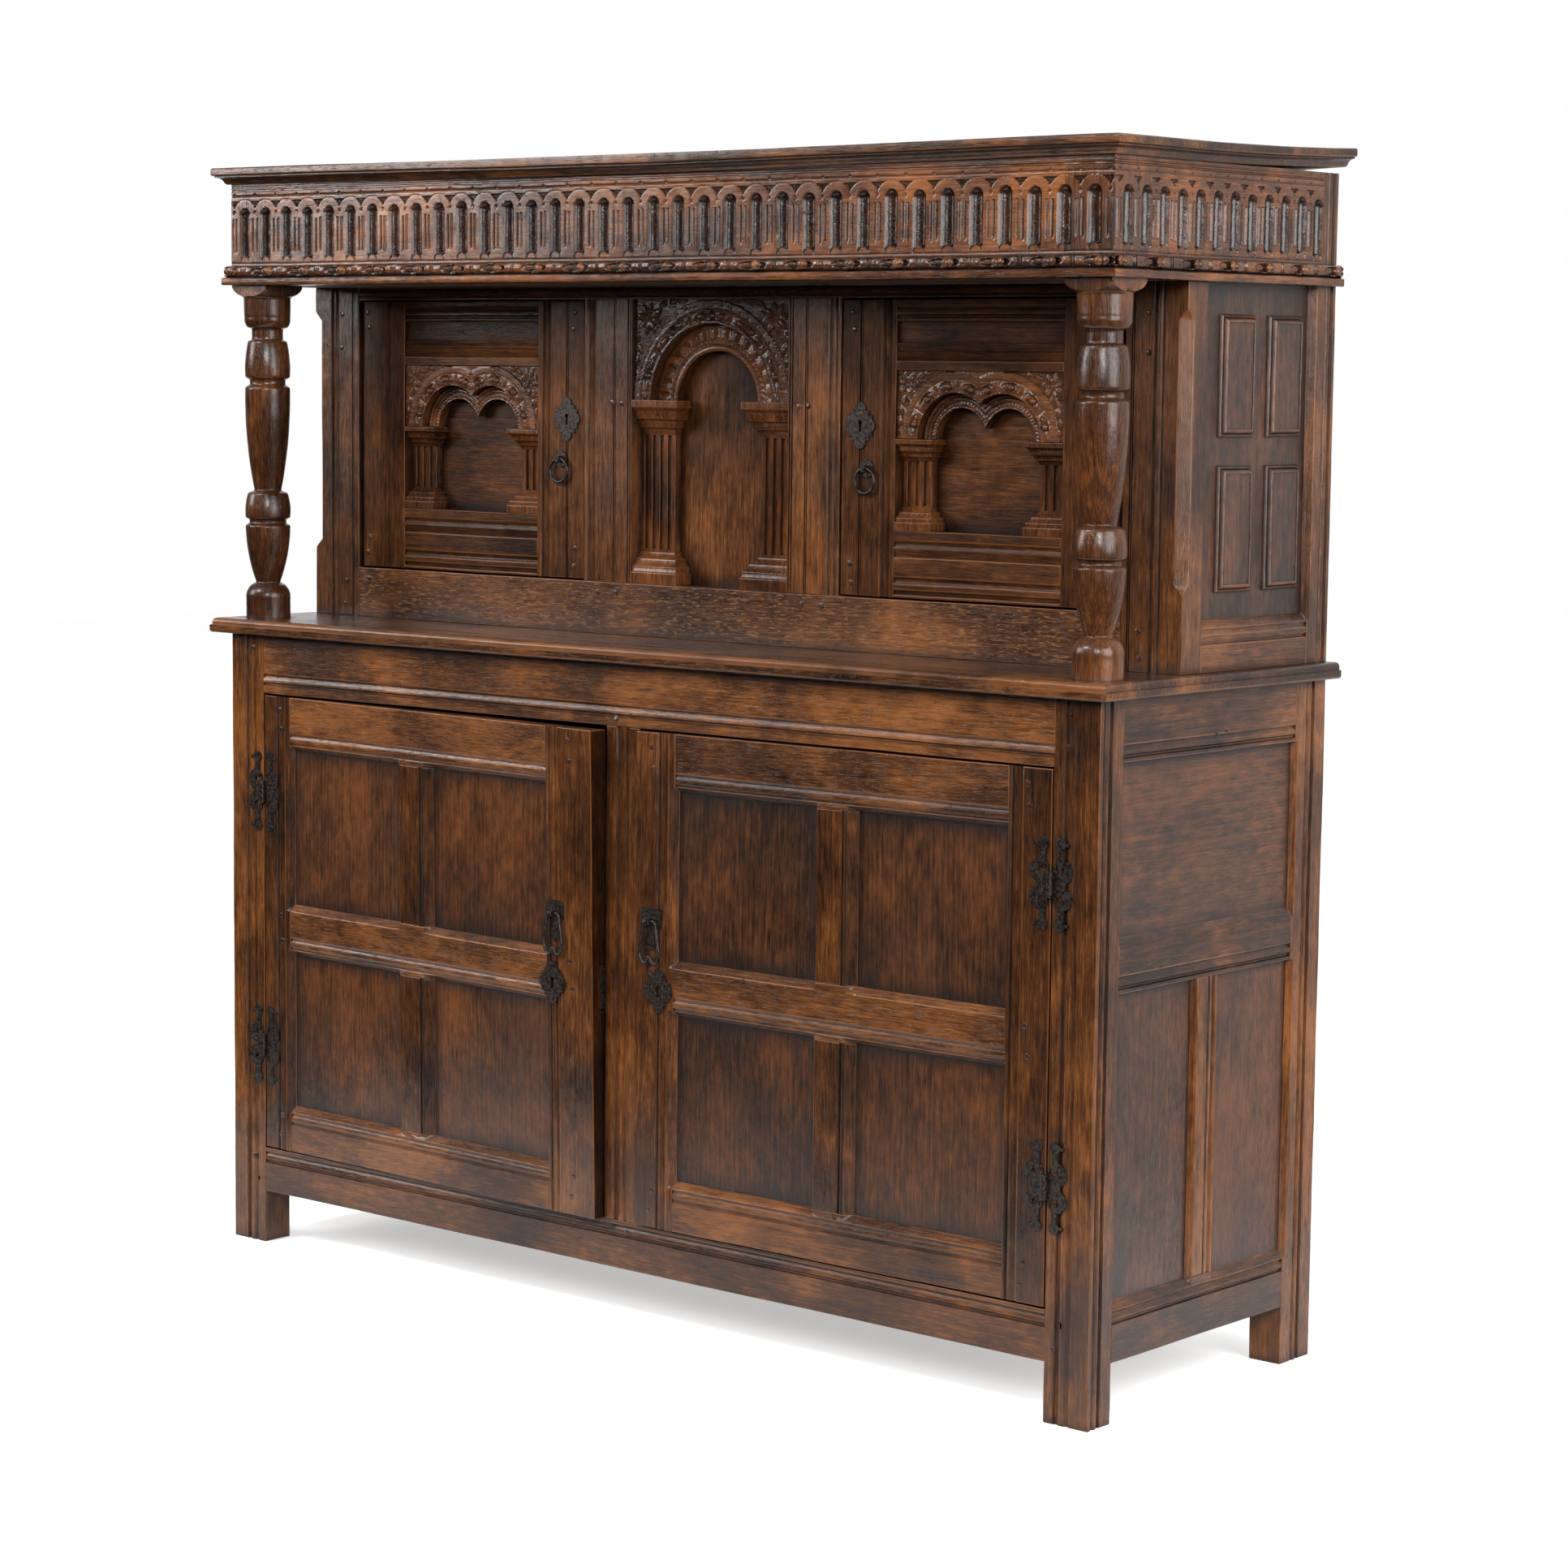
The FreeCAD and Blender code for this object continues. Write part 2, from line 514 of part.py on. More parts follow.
def leaf(side):
    """One leaf about its hinge's centre; side is 1 for the stile's leaf and -1 for the door's."""
    thick = (-s.leaf_thick, NONE)
    start, reach = s.knuckle_radius * 0.2, s.leaf_reach
    neck_tall = s.leaf_neck_tall / 2

    def across(near, far):
        return (near, far) if side > 0 else (-far, -near)

    pieces = [block("leaf_neck", across(start, reach * 0.7), thick, (-neck_tall, neck_tall))]
    for way in (1, -1):
        ring_z = s.leaf_ring_radius * way * 1.15
        ring_x = reach - s.leaf_ring_radius
        ring_x = ring_x if side > 0 else -ring_x
        disc = rod("leaf_scroll", s.leaf_ring_radius, s.leaf_thick, ring_x, -s.leaf_thick, ring_z, "Y")
        hole = rod("scroll_hole", s.leaf_ring_bore, s.leaf_thick * 3, ring_x - s.leaf_ring_bore * 0.7 * side,
                   -(s.leaf_thick * 2), ring_z + s.leaf_ring_bore * 0.6 * way, "Y")
        head_z = (s.leaf_half_tall - s.leaf_head_radius) * way
        head_x = (reach * 0.42) * side
        head = rod("bird_head", s.leaf_head_radius, s.leaf_thick, head_x, -s.leaf_thick, head_z, "Y")
        throat = across(reach * 0.42 - s.leaf_head_radius * 0.5, reach * 0.42 + s.leaf_head_radius * 0.55)
        low, high = s.leaf_ring_radius * 1.4, s.leaf_half_tall - s.leaf_head_radius
        span = (low, high) if way > 0 else (-high, -low)
        neck = block("bird_neck", throat, thick, span)
        beak_low = s.leaf_half_tall - s.leaf_head_radius * 1.3
        beak_high = beak_low + s.leaf_head_radius * 0.5
        beak_span = (beak_low, beak_high) if way > 0 else (-beak_high, -beak_low)
        beak = block("bird_beak", across(reach * 0.42, reach * 0.42 + s.leaf_head_radius * 1.7), thick, beak_span)
        pieces += [cut(disc, hole), head, neck, beak]
    return pieces


knuckle_low = -(s.knuckle_tall / 2)
middle_half = s.middle_knuckle_tall / 2
tongue_out = (-s.hinge_axis_out, NONE)
outer_knuckles = []
for low, high in ((knuckle_low, -middle_half - s.running_gap), (middle_half + s.running_gap, -knuckle_low)):
    outer_knuckles.append(rod("outer_knuckle", s.knuckle_radius, high - low, NONE, axis_y, low))
    outer_knuckles.append(block("knuckle_strap", (NONE, s.leaf_reach * 0.3), (-s.leaf_thick, NONE), (low, high)))
hinge_pin = rod("hinge_pin", s.hinge_pin_radius, s.knuckle_tall, NONE, axis_y, knuckle_low)
knuckle_room = block("knuckle_room", (-(s.leaf_reach * 0.25), s.knuckle_radius * 1.15),
                     (-s.hinge_axis_out * 3, s.overrun), (-middle_half - s.running_gap, middle_half + s.running_gap))
frame_leaf = cut(fused("frame_leaf", leaf(1)), knuckle_room)
frame_leaf = fused("frame_leaf_and_pin", [frame_leaf] + outer_knuckles + [hinge_pin])
middle_knuckle = fused("middle_knuckle", [
    rod("knuckle", s.knuckle_radius, s.middle_knuckle_tall, NONE, axis_y, -middle_half),
    block("strap", (-(s.leaf_reach * 0.3), NONE), (-s.leaf_thick, NONE), (-middle_half, middle_half))])
outer_room = together("outer_room", [
    block("outer_room", (-(s.knuckle_radius * 1.15), s.leaf_reach * 0.3), (-s.hinge_axis_out * 3, s.overrun), span)
    for span in ((-s.knuckle_tall, -middle_half), (middle_half, s.knuckle_tall))])
pin_bore = rod("pin_bore", s.hinge_pin_radius + s.bore_gap, s.knuckle_tall * 2, NONE, axis_y, -s.knuckle_tall)
door_leaf = cut(fused("door_leaf", [cut(fused("door_leaf_plate", leaf(-1)), outer_room), middle_knuckle]), pin_bore)


def placed(source, x, y, z):
    """The same piece again at another place."""
    thing = doc.addObject("Part::Compound", source.Name)
    thing.Links = [source]
    for letter, size in zip("xyz", (x, y, z)):
        bind(thing, "Placement.Base." + letter, size)
    return thing


def hinge_copies(label, source, group, sides):
    """Copies of a leaf at both hinge heights; a left-hand one is the mirror image of a right-hand one."""
    leaves = [placed(source, axis_x, NONE, height) for height in (hinge_high, hinge_low)]
    made = leaves if "right" in sides else []
    made = made + [mirrored(one) for one in leaves] if "left" in sides else made
    return node(label, made, group)


hinge_copies("frame_hinge_leaves", frame_leaf, "fixed", ("left", "right"))


# Iron drops, rings, plates and locks

def keyhole(name, x, front, z, deep):
    """A keyhole through wood or plate: a round eye over a slot."""
    start = front - s.overrun
    eye = rod(name, s.key_round, deep + s.overrun, x, start, z + s.key_slot_long / 3, "Y")
    slot = block(name, (x - s.key_slot_wide / 2, x + s.key_slot_wide / 2), (start, front + deep),
                 (z - s.key_slot_long * 2 / 3, z + s.key_slot_long / 3))
    return fused(name, [eye, slot])


def key_plate(x, front, z, wide, tall):
    """A lobed iron plate round a keyhole, let onto the face of the stile."""
    thick = (front - s.plate_thick, front)
    pieces = [block("key_plate", (x - wide / 2, x + wide / 2), thick, (z - tall / 2 * 0.7, z + tall / 2 * 0.7)),
              block("key_plate", (x - wide / 2 * 0.72, x + wide / 2 * 0.72), thick, (z - tall / 2, z + tall / 2))]
    for across, up in ((0, 1), (0, -1), (0.8, 0), (-0.8, 0)):
        pieces.append(rod("plate_lobe", s.keyplate_lobe, s.plate_thick, x + wide / 2 * across,
                          front - s.plate_thick, z + (tall / 2 + s.keyplate_lobe * 0.3) * up, "Y"))
    hole = keyhole("plate_keyhole", x, front - s.plate_thick, z, s.plate_thick * 2)
    return cut(fused("key_plate", pieces), hole)


def ear(x, front, z, out, wire):
    """The iron eye that a drop or a ring hangs in."""
    lug = block("ear", (x - s.ear_wide / 2, x + s.ear_wide / 2), (front - out - s.ear_tall / 2, front),
                (z - s.ear_tall / 2, z + s.ear_tall / 2))
    bore = rod("ear_bore", wire + s.running_gap, s.ear_wide * 2, x - s.ear_wide, front - out, z, "X")
    return lug, bore


def drop_plate(x, front, z):
    thick = (front - s.plate_thick, front)
    head = block("drop_plate", (x - s.drop_plate_wide / 2, x + s.drop_plate_wide / 2), thick,
                 (z - s.drop_plate_tall / 3, z + s.drop_plate_tall * 2 / 3))
    tail = block("drop_tail", (x - s.drop_tail_wide / 2, x + s.drop_tail_wide / 2), thick,
                 (z - s.drop_tail_long, z))
    toe = rod("drop_toe", s.drop_tail_wide / 2, s.plate_thick, x, front - s.plate_thick, z - s.drop_tail_long, "Y")
    lug, bore = ear(x, front, z, s.drop_out, s.drop_wire_radius)
    return cut(fused("drop_plate", [head, tail, toe, lug]), bore)


def rounded_loop(corners):
    """A closed wire of straight lines joined by tangent arcs; each corner is a point and its radius."""
    edges, ends = [], []
    count = len(corners)
    for number, (corner, radius) in enumerate(corners):
        back_way = (corners[number - 1][0] - corner).normalize()
        on_way = (corners[(number + 1) % count][0] - corner).normalize()
        bend = back_way.getAngle(on_way) / 2
        reach = radius / math.tan(bend)
        inner = (back_way + on_way).normalize() * (radius / math.sin(bend) - radius)
        ends.append((corner + back_way * reach, corner + inner, corner + on_way * reach))
    for number, (start, middle, end) in enumerate(ends):
        edges.append(Part.Arc(start, middle, end).toShape())
        edges.append(Part.LineSegment(end, ends[(number + 1) % count][0]).toShape())
    return Part.Wire(edges)


def pear_drop(label, x, front, z, group):
    """The hanging wire of a lower door: a straight bar in the ear, two cheeks that swell, and a cusp between."""
    bar, long, wide, cusp = [size.value for size in (s.drop_bar_long, s.drop_long, s.drop_wide, s.drop_cusp)]
    wire = s.drop_wire_radius.value
    right = [(bar * 0.62, 0, wire * 1.9), (wide * 0.51, long * 0.79, wire * 6), (wide * 0.26, long * 1.085, wire * 2.2)]
    shape = right + [(0, long * 0.97 - cusp, wire * 1.2)] + [(-across, down, radius) for across, down, radius in right[::-1]]
    corners = [(V(x.value + across, (front - s.drop_out).value, z.value - down), radius)
               for across, down, radius in shape]
    path = rounded_loop(corners)
    line = path.Edges[-1]
    circle = Part.Wire([Part.makeCircle(wire, line.valueAt(line.LastParameter), V(1, 0, 0))])
    thing = doc.addObject("Part::Feature", label)
    thing.Shape = path.makePipeShell([circle], True, False)
    thing.Label = label
    NODES.append((thing, group))


def lock(edge, way, front, thick, z):
    """Case, bolt and the pocket for the case; way is 1 when the stile lies to the right of its free edge."""
    def across(near, far):
        return (edge + near, edge + far) if way > 0 else (edge - far, edge - near)

    tall = (z - s.lock_tall / 2, z + s.lock_tall / 2)
    case = block("lock_case", across(NONE, s.lock_wide), (front + thick - s.lock_let_in, front + thick), tall)
    gap = s.running_gap
    bolt_y = (front + s.bolt_setback, front + s.bolt_setback + s.bolt_thick)
    channel = block("bolt_channel", across(-s.overrun, s.bolt_long + s.bolt_hidden * 3),
                    (bolt_y[0] - gap, bolt_y[1] + gap), (z - s.bolt_tall / 2 - gap, z + s.bolt_tall / 2 + gap))
    bolt = block("bolt", across(s.bolt_hidden, s.bolt_hidden + s.bolt_long), bolt_y,
                 (z - s.bolt_tall / 2, z + s.bolt_tall / 2))
    return cut(case, channel), bolt, case, channel


# Lower doors: framed in two rows of two panels, sloped edges on the left of each panel and below each rail

def lower_door(side, left_wide, right_wide, key_inset, key_height, drop_inset, drop_height):
    group = f"lower_{side}_door"
    edge_in, edge_out = muntin_half + s.door_gap, stile_x - s.door_gap
    x0, x1 = (-edge_out, -edge_in) if side == "left" else (edge_in, edge_out)
    low, high = door_low + s.door_gap, door_high - s.door_gap
    thick = s.door_thick
    inner = (x0 + left_wide, x1 - right_wide)
    middle = (inner[0] + inner[1]) / 2
    muntin = (middle - s.door_muntin_wide / 2, middle + s.door_muntin_wide / 2)
    rows = ((low + s.door_bottom_rail_tall, mid_rail_low),
            (mid_rail_low + s.door_mid_rail_tall, high - s.door_top_rail_tall))
    depth, run_wide = s.door_mould_deep, s.door_mould_wide

    rails, strips = [], []
    for up, start in (((low, rows[0][0]), s.door_bottom_rail_tall - s.door_top_chamfer - run_wide),
                      ((rows[0][1], rows[1][0]), s.door_low_chamfer), ((rows[1][1], high), s.door_low_chamfer)):
        run = (start, run_wide, depth, scratch_shares)
        bar = rail("door_rail", inner, NONE, up, thick, runs=[run])
        strip = tongue("door_tenons", inner, NONE, up)
        strips.append(strip)
        rails.append(fused("joined_door_rail", [bar, strip]))

    left_run = (left_wide - s.door_chamfer - run_wide, run_wide, depth, scratch_shares)
    right_run = (s.running_gap * 12, run_wide, depth, scratch_shares)
    muntin_run = (s.door_muntin_wide - s.door_chamfer - run_wide / 2, run_wide / 2, depth, ogee_shares)
    stiles = [upright("door_stile", x0, NONE, (low, high), left_wide, thick, runs=[left_run]),
              upright("door_stile", x1 - right_wide, NONE, (low, high), right_wide, thick, runs=[right_run])]
    muntins, muntin_strips = [], []
    for up in rows:
        bar = upright("door_muntin", muntin[0], NONE, up, s.door_muntin_wide, thick, runs=[muntin_run])
        strip = standing_tongue("door_muntin_tenons", muntin, NONE, up)
        muntin_strips.append(strip)
        muntins.append(fused("joined_door_muntin", [bar, strip]))

    panels, slopes = [], []
    for up in rows:
        for along in ((inner[0], muntin[0]), (muntin[1], inner[1])):
            panels.append(panel("door_panel", along, s.door_panel_sunk, up, s.panel_thick))
            slopes.append(chamfer("door_slope", along, NONE, up, s.door_panel_sunk, s.door_chamfer, NONE,
                                  s.door_top_chamfer, s.door_low_chamfer))
    panel_tool, slope_tool = together("door_panel_tools", panels), together("door_slope_tools", slopes)
    strip_tool = together("door_tenon_tools", strips)
    muntin_strip_tool = together("door_muntin_tools", muntin_strips)

    way = -1 if side == "left" else 1
    free_edge = x1 if side == "left" else x0
    key_x, drop_x = free_edge + key_inset * way, free_edge + drop_inset * way
    case, bolt, case_room, channel = lock(free_edge, way, NONE, thick, key_height)
    key_tool = keyhole("stile_keyhole", key_x, NONE, key_height, thick - s.lock_let_in)
    stiles = [cut(stile, strip_tool, panel_tool, slope_tool) for stile in stiles]
    lock_stile = 1 if side == "left" else 0
    stiles[lock_stile] = cut(stiles[lock_stile], case_room, key_tool)
    rails = [cut(bar, panel_tool, slope_tool, muntin_strip_tool, case_room) for bar in rails]
    muntins = [cut(bar, panel_tool, slope_tool) for bar in muntins]
    panels = [cut(board, case_room) for board in panels]
    case = cut(case, keyhole("case_keyhole", key_x, thick - s.lock_let_in, key_height, s.lock_let_in / 3))

    node(f"{group}_uprights", stiles + muntins, group)
    node(f"{group}_rails", rails, group)
    node(f"{group}_panels", panels, group)
    hinge_copies(f"{group}_hinge_leaves", door_leaf, group, (side,))
    plates = [key_plate(key_x, NONE, key_height, s.keyplate_wide, s.keyplate_tall),
              drop_plate(drop_x, NONE, drop_height)]
    node(f"{group}_plates", plates, group)
    node(f"{group}_lock_case", [case], group)
    node(f"{group}_bolt", [bolt], group)
    pear_drop(f"{group}_drop", drop_x, NONE, drop_height, group)


lower_door("left", s.left_hinge_stile, s.left_lock_stile, s.left_key_inset, left_key_z,
           s.left_drop_inset, mid_rail_low + s.left_drop_up)
lower_door("right", s.right_lock_stile, s.right_hinge_stile, s.right_key_inset, right_key_z,
           s.right_drop_inset, mid_rail_low + s.right_drop_up)


# Counter and top: three boards each, with a moulding worked along the front and both ends

def moulded_slab(name, half_wide, front, back, low, edge):
    """A slab whose front and end edges share one outline, given as inset and height from its lower corner."""
    wide = half_wide * 2
    run = [(inset, height, *rise) for inset, height, *rise in edge]
    ends = [(wide - inset, height, *rise) for inset, height, *rise in run]
    thick = run[-1][1]
    left = []
    for number in range(len(run) - 1, -1, -1):
        rise = run[number + 1][2:] if number + 1 < len(run) else ()
        left.append((run[number][0], run[number][1], *rise))
    across = doc.addObject("PartDesign::Body", name)
    pad = across.newObject("PartDesign::Pad", "length")
    pad.Profile = outline_sketch(across, ends + left, "XZ_Plane")
    bind(pad, "Length", back - front)
    put(across, "front", -half_wide, back, low)
    deep = doc.addObject("PartDesign::Body", name)
    pad = deep.newObject("PartDesign::Pad", "length")
    outline = [(-inset, height, *rise) for inset, height, *rise in run]
    outline = [(back - front + inset, height, *rise) for inset, height, *rise in outline]
    pad.Profile = outline_sketch(deep, outline + [(NONE, thick), (NONE, NONE)], "XZ_Plane")
    bind(pad, "Length", wide)
    deep.Placement = FreeCAD.Placement(V(), FreeCAD.Rotation(V(0, 0, 1), -90))
    for letter, size in zip("xyz", (half_wide, back, low)):
        bind(deep, "Placement.Base." + letter, size)
    return common(across, deep)


def split_boards(slab, half_wide, low, high, fronts):
    """Cut a slab into boards that lie edge to edge."""
    return [common(slab, block("board_room", (-half_wide, half_wide), (near, far), (low, high)))
            for near, far in zip(fronts, fronts[1:])]


nose = s.nosing_deep
counter_half = half + s.counter_reach
counter_edge = [(nose * 0.25, NONE), (NONE, s.counter_thick * 0.12), (NONE, s.counter_thick * 0.5),
                (nose * 0.3, s.counter_thick * 0.56), (nose * 0.3, s.counter_thick * 0.68),
                (nose, s.counter_thick, nose * 0.22)]
counter = moulded_slab("counter", counter_half, -s.counter_reach, s.base_depth, s.base_height, counter_edge)
counter_fronts = [-s.counter_reach - s.overrun, s.front_board_deep, s.front_board_deep + s.middle_board_deep,
                  s.base_depth + s.overrun]
counter_boards = split_boards(counter, counter_half, s.base_height, counter_top, counter_fronts)

top_half = frieze_half + s.top_reach
cove = s.cove_deep
top_edge = [(cove, NONE), (cove * 0.85, s.top_thick * 0.14), (cove * 0.25, s.top_thick * 0.42, -cove * 0.12),
            (cove * 0.25, s.top_thick * 0.5), (NONE, s.top_thick * 0.56), (NONE, s.top_thick * 0.92),
            (cove * 0.12, s.top_thick)]
top_front = s.frieze_front - s.top_reach
top_back = s.base_depth + s.top_rear_reach
top = moulded_slab("top", top_half, top_front, top_back, top_low, top_edge)
top_fronts = [top_front - s.overrun, s.front_board_deep, s.front_board_deep + s.middle_board_deep,
              top_back + s.overrun]
top_boards = split_boards(top, top_half, top_low, top_high, top_fronts)

# Turned corner posts: a square block under the top, turned below it, with a round tenon in the counter


def turned_outline():
    """Radius and height of the turning from the end of its tenon, with the rise of each swelling."""
    foot = s.post_tenon_long
    full = top_low - counter_top
    square = s.post_square / 2
    r, z = square, full
    return [(NONE, NONE), (s.post_tenon_radius, NONE), (s.post_tenon_radius, foot), (r * 0.89, foot),
            (r * 0.89, foot + z * 0.045), (r * 0.66, foot + z * 0.078, r * 0.08), (r * 0.48, foot + z * 0.083),
            (r * 0.9, foot + z * 0.216, r * 0.1), (r * 0.74, foot + z * 0.221), (r * 0.74, foot + z * 0.229),
            (r * 0.9, foot + z * 0.234), (r * 0.8, foot + z * 0.291, r * 0.05), (r * 0.54, foot + z * 0.297),
            (r * 0.905, foot + z * 0.535, r * 0.11), (r * 0.72, foot + z * 0.542), (r * 0.72, foot + z * 0.552),
            (r * 0.9, foot + z * 0.559), (r * 0.78, foot + z * 0.642, r * 0.05), (r * 0.63, foot + z * 0.645),
            (r * 0.63, foot + z * 0.671), (r * 0.8, foot + z * 0.673), (r * 0.92, foot + z * 0.697, r * 0.05),
            (r * 0.93, foot + z * 0.7), (r * 0.945, foot + z * 0.742), (r * 1.04, foot + z * 0.745),
            (r * 1.45, foot + z * 0.775, r * 0.1), (r * 1.5, foot + z), (NONE, foot + z)]


post_x, post_y = frieze_half - s.post_square / 2, s.frieze_front + s.post_square / 2
turning = doc.addObject("PartDesign::Body", "turning")
revolution = turning.newObject("PartDesign::Revolution", "turned")
post_sketch = outline_sketch(turning, turned_outline(), "XZ_Plane")
revolution.Profile = post_sketch
revolution.ReferenceAxis = (post_sketch, ["V_Axis"])
revolution.Angle = 360
put(turning, "front", post_x, post_y, counter_top - s.post_tenon_long)
post_span = (frieze_half - s.post_square, frieze_half)
post_deep = (s.frieze_front, s.frieze_front + s.post_square)
post = common(turning, block("post_square", post_span, post_deep, (counter_top - s.post_tenon_long, top_low)))
tenon_room = rod("post_tenon_room", s.post_tenon_radius, s.post_tenon_long, post_x, post_y,
                 counter_top - s.post_tenon_long)
counter_boards[0] = cut(counter_boards[0], tenon_room, mirrored(tenon_room))

# Frieze rails between the posts, cut with a row of round-headed flutes that runs on over the posts

frieze_span = (frieze_half - s.post_square) * 1
frieze_up = (frieze_low, top_low)
front_frieze = block("front_frieze", (-frieze_span, frieze_span),
                     (s.frieze_front, s.frieze_front + s.frieze_thick), frieze_up)
front_frieze_strip = tongue("frieze_tenons", (-frieze_span, frieze_span), s.frieze_front - s.overrun, frieze_up)
front_frieze = fused("joined_front_frieze", [front_frieze, front_frieze_strip])
side_off = half - frieze_half
side_frieze_end = s.base_depth - s.side_frieze_short
side_frieze_along = (s.frieze_front + s.post_square, side_frieze_end)
side_frieze = block("side_frieze", side_frieze_along, (side_off, side_off + s.frieze_thick), frieze_up, face="side")
side_frieze_strip = block("side_frieze_tenon", (side_frieze_along[0] - s.tenon_length * 0.6, side_frieze_along[0]),
                          (side_off + s.tenon_setback, side_off + s.tenon_setback + s.tenon_thick),
                          (frieze_low + s.tenon_shoulder, top_low - s.tenon_shoulder), face="side")
side_frieze = fused("joined_side_frieze", [side_frieze, side_frieze_strip])


def flute_tools(name, face, first, last, count, out):
    """Round-headed gouges in a row: each an upright round bar with a ball on top."""
    radius = s.flute_radius
    foot, high = frieze_low + s.flute_foot_up, top_low - s.flute_top_down - radius
    ball = doc.addObject("Part::Sphere", name)
    bind(ball, "Radius", radius)
    bind(ball, "Placement.Base.z", high)
    gouge = fused(name, [rod(name, radius, high - foot, NONE, NONE, foot), ball])
    places = [first + (last - first) * (number / (count - 1)) for number in range(count)]
    return together(name, [placed(gouge, *((along, out) if face == "front" else (out, along)), NONE)
                           for along in places])


flute_first = frieze_half - s.flute_inset
front_flutes = flute_tools("front_flutes", "front", -flute_first, flute_first, FRONT_FLUTES,
                           s.frieze_front - s.flute_centre_out)
side_flutes = flute_tools("side_flutes", "side", s.frieze_front + s.side_flute_inset,
                          side_frieze_end - s.side_flute_rear_gap, SIDE_FLUTES,
                          frieze_half + s.flute_centre_out)
post = cut(post, front_frieze_strip, side_frieze_strip, front_flutes, side_flutes)
front_frieze = cut(front_frieze, front_flutes)
side_frieze = cut(side_frieze, side_flutes)

# Carved band under the flutes: a plain lower fillet and a rounded strip above it, mitred at the corners

out, tall = s.band_out, s.band_tall
band_section = [(NONE, NONE), (out, NONE), (out, tall), (out * 0.7, tall), (out * 0.1, tall * 0.84, out * 0.12),
                (out * 0.1, tall * 0.52, out * 0.1), (out * 0.45, tall * 0.42), (NONE, tall * 0.34),
                (NONE, tall * 0.08)]
band_front = member("band", band_section, frieze_half * 2 + out * 2, "front", -frieze_half - out,
                    s.frieze_front - out, frieze_low)
band_front.Placement = FreeCAD.Placement(V(), FreeCAD.Rotation(V(0, 1, 0), V(0, 0, 1), V(1, 0, 0), "XYZ"))
for letter, size in zip("xyz", (-frieze_half - out, s.frieze_front - out, frieze_low)):
    bind(band_front, "Placement.Base." + letter, size)
band_side = member("band", band_section, s.base_depth + out, "front", frieze_half + out,
                   s.frieze_front - out, frieze_low)
band_side.Placement = FreeCAD.Placement(V(), FreeCAD.Rotation(V(-1, 0, 0), V(0, 0, 1), V(0, 1, 0), "XYZ"))
for letter, size in zip("xyz", (frieze_half + out, s.frieze_front - out, frieze_low)):
    bind(band_side, "Placement.Base." + letter, size)


def mitre(name, points, low, high):
    """An upright prism that trims mouldings to a mitre."""
    body = doc.addObject("PartDesign::Body", name)
    pad = body.newObject("PartDesign::Pad", "length")
    pad.Profile = outline_sketch(body, points, "XY_Plane")
    bind(pad, "Length", high - low)
    return body


band_up = (frieze_low, frieze_low + tall)
front_mitre = mitre("front_mitre", [(NONE, NONE), (frieze_half * 2 + out * 2, NONE),
                                    (frieze_half * 2 + out, out), (out, out)], *band_up)
put(front_mitre, "front", -frieze_half - out, s.frieze_front - out, frieze_low)
side_long = s.base_depth - s.frieze_front + out
side_mitre = mitre("side_mitre", [(out, NONE), (out, side_long), (NONE, side_long), (NONE, out)], *band_up)
put(side_mitre, "front", frieze_half, s.frieze_front - out, frieze_low)
band_front = common(band_front, front_mitre)
band_side = common(band_side, side_mitre)

# Upper cupboard: set back behind the posts, its front frame holds two doors and a fixed centre bay

back = s.upper_setback
upper_thick = s.upper_thick
sill_top = counter_top + s.sill_tall
head_low = frieze_low - s.head_below_frieze
head_high = head_low + s.head_rail_tall
upper_stile_x = half - s.upper_stile_wide
upper_key_z = sill_top + s.upper_key_up
bay = s.upper_muntin_edge
muntin_out = bay + s.upper_muntin_wide
mould = s.rail_mould_wide

upper_rear_y = s.base_depth - s.upper_rear_stile_deep
side_room = block("side_frieze_room", side_frieze_along, (side_off, side_off + s.frieze_thick), frieze_up, face="side")
stile_runs = [(s.upper_stile_wide * 0.1, s.overrun, s.channel_deep, scratch_shares),
              (s.upper_stile_wide * 0.45, s.upper_stile_channel, s.channel_deep, channel_shares)]
upper_front_stile = upright("upper_front_stile", upper_stile_x, back, (counter_top, head_high),
                            s.upper_stile_wide, upper_thick, runs=stile_runs)
stop = s.upper_chamfer_stop
corner_cut = doc.addObject("Part::Wedge", "stopped_chamfer")
slope = s.upper_chamfer
# The slope on the outer corner dies out above the counter and below the band. The tool starts half a slope
# outside the corner and ends in the slope itself, which is shorter by its two stops.
for field, size in (("Xmin", -slope), ("Xmax", slope), ("Ymin", NONE), ("Ymax", slope * math.sqrt(2)),
                    ("Zmin", NONE), ("Zmax", frieze_low - counter_top - stop * 1.25), ("X2min", -slope),
                    ("X2max", slope), ("Z2min", slope * 2),
                    ("Z2max", frieze_low - counter_top - stop * 1.25 - slope * 2)):
    bind(corner_cut, field, size)
corner_cut.Placement = FreeCAD.Placement(V(), FreeCAD.Rotation(V(0, 0, 1), 45))
for letter, size in zip("xyz", (half + slope / 2, back - slope / 2, counter_top + stop)):
    bind(corner_cut, "Placement.Base." + letter, size)
upper_front_stile = cut(upper_front_stile, side_room, corner_cut)

rear_run = (s.upper_rear_stile_deep - s.side_channel_wide - s.side_channel_inset, s.side_channel_wide,
            s.channel_deep, channel_shares)
upper_rear_stile = upright("upper_rear_stile", upper_rear_y, NONE, (counter_top, top_low),
                           s.upper_rear_stile_deep, s.upper_rear_stile_wide, face="side", runs=[rear_run])

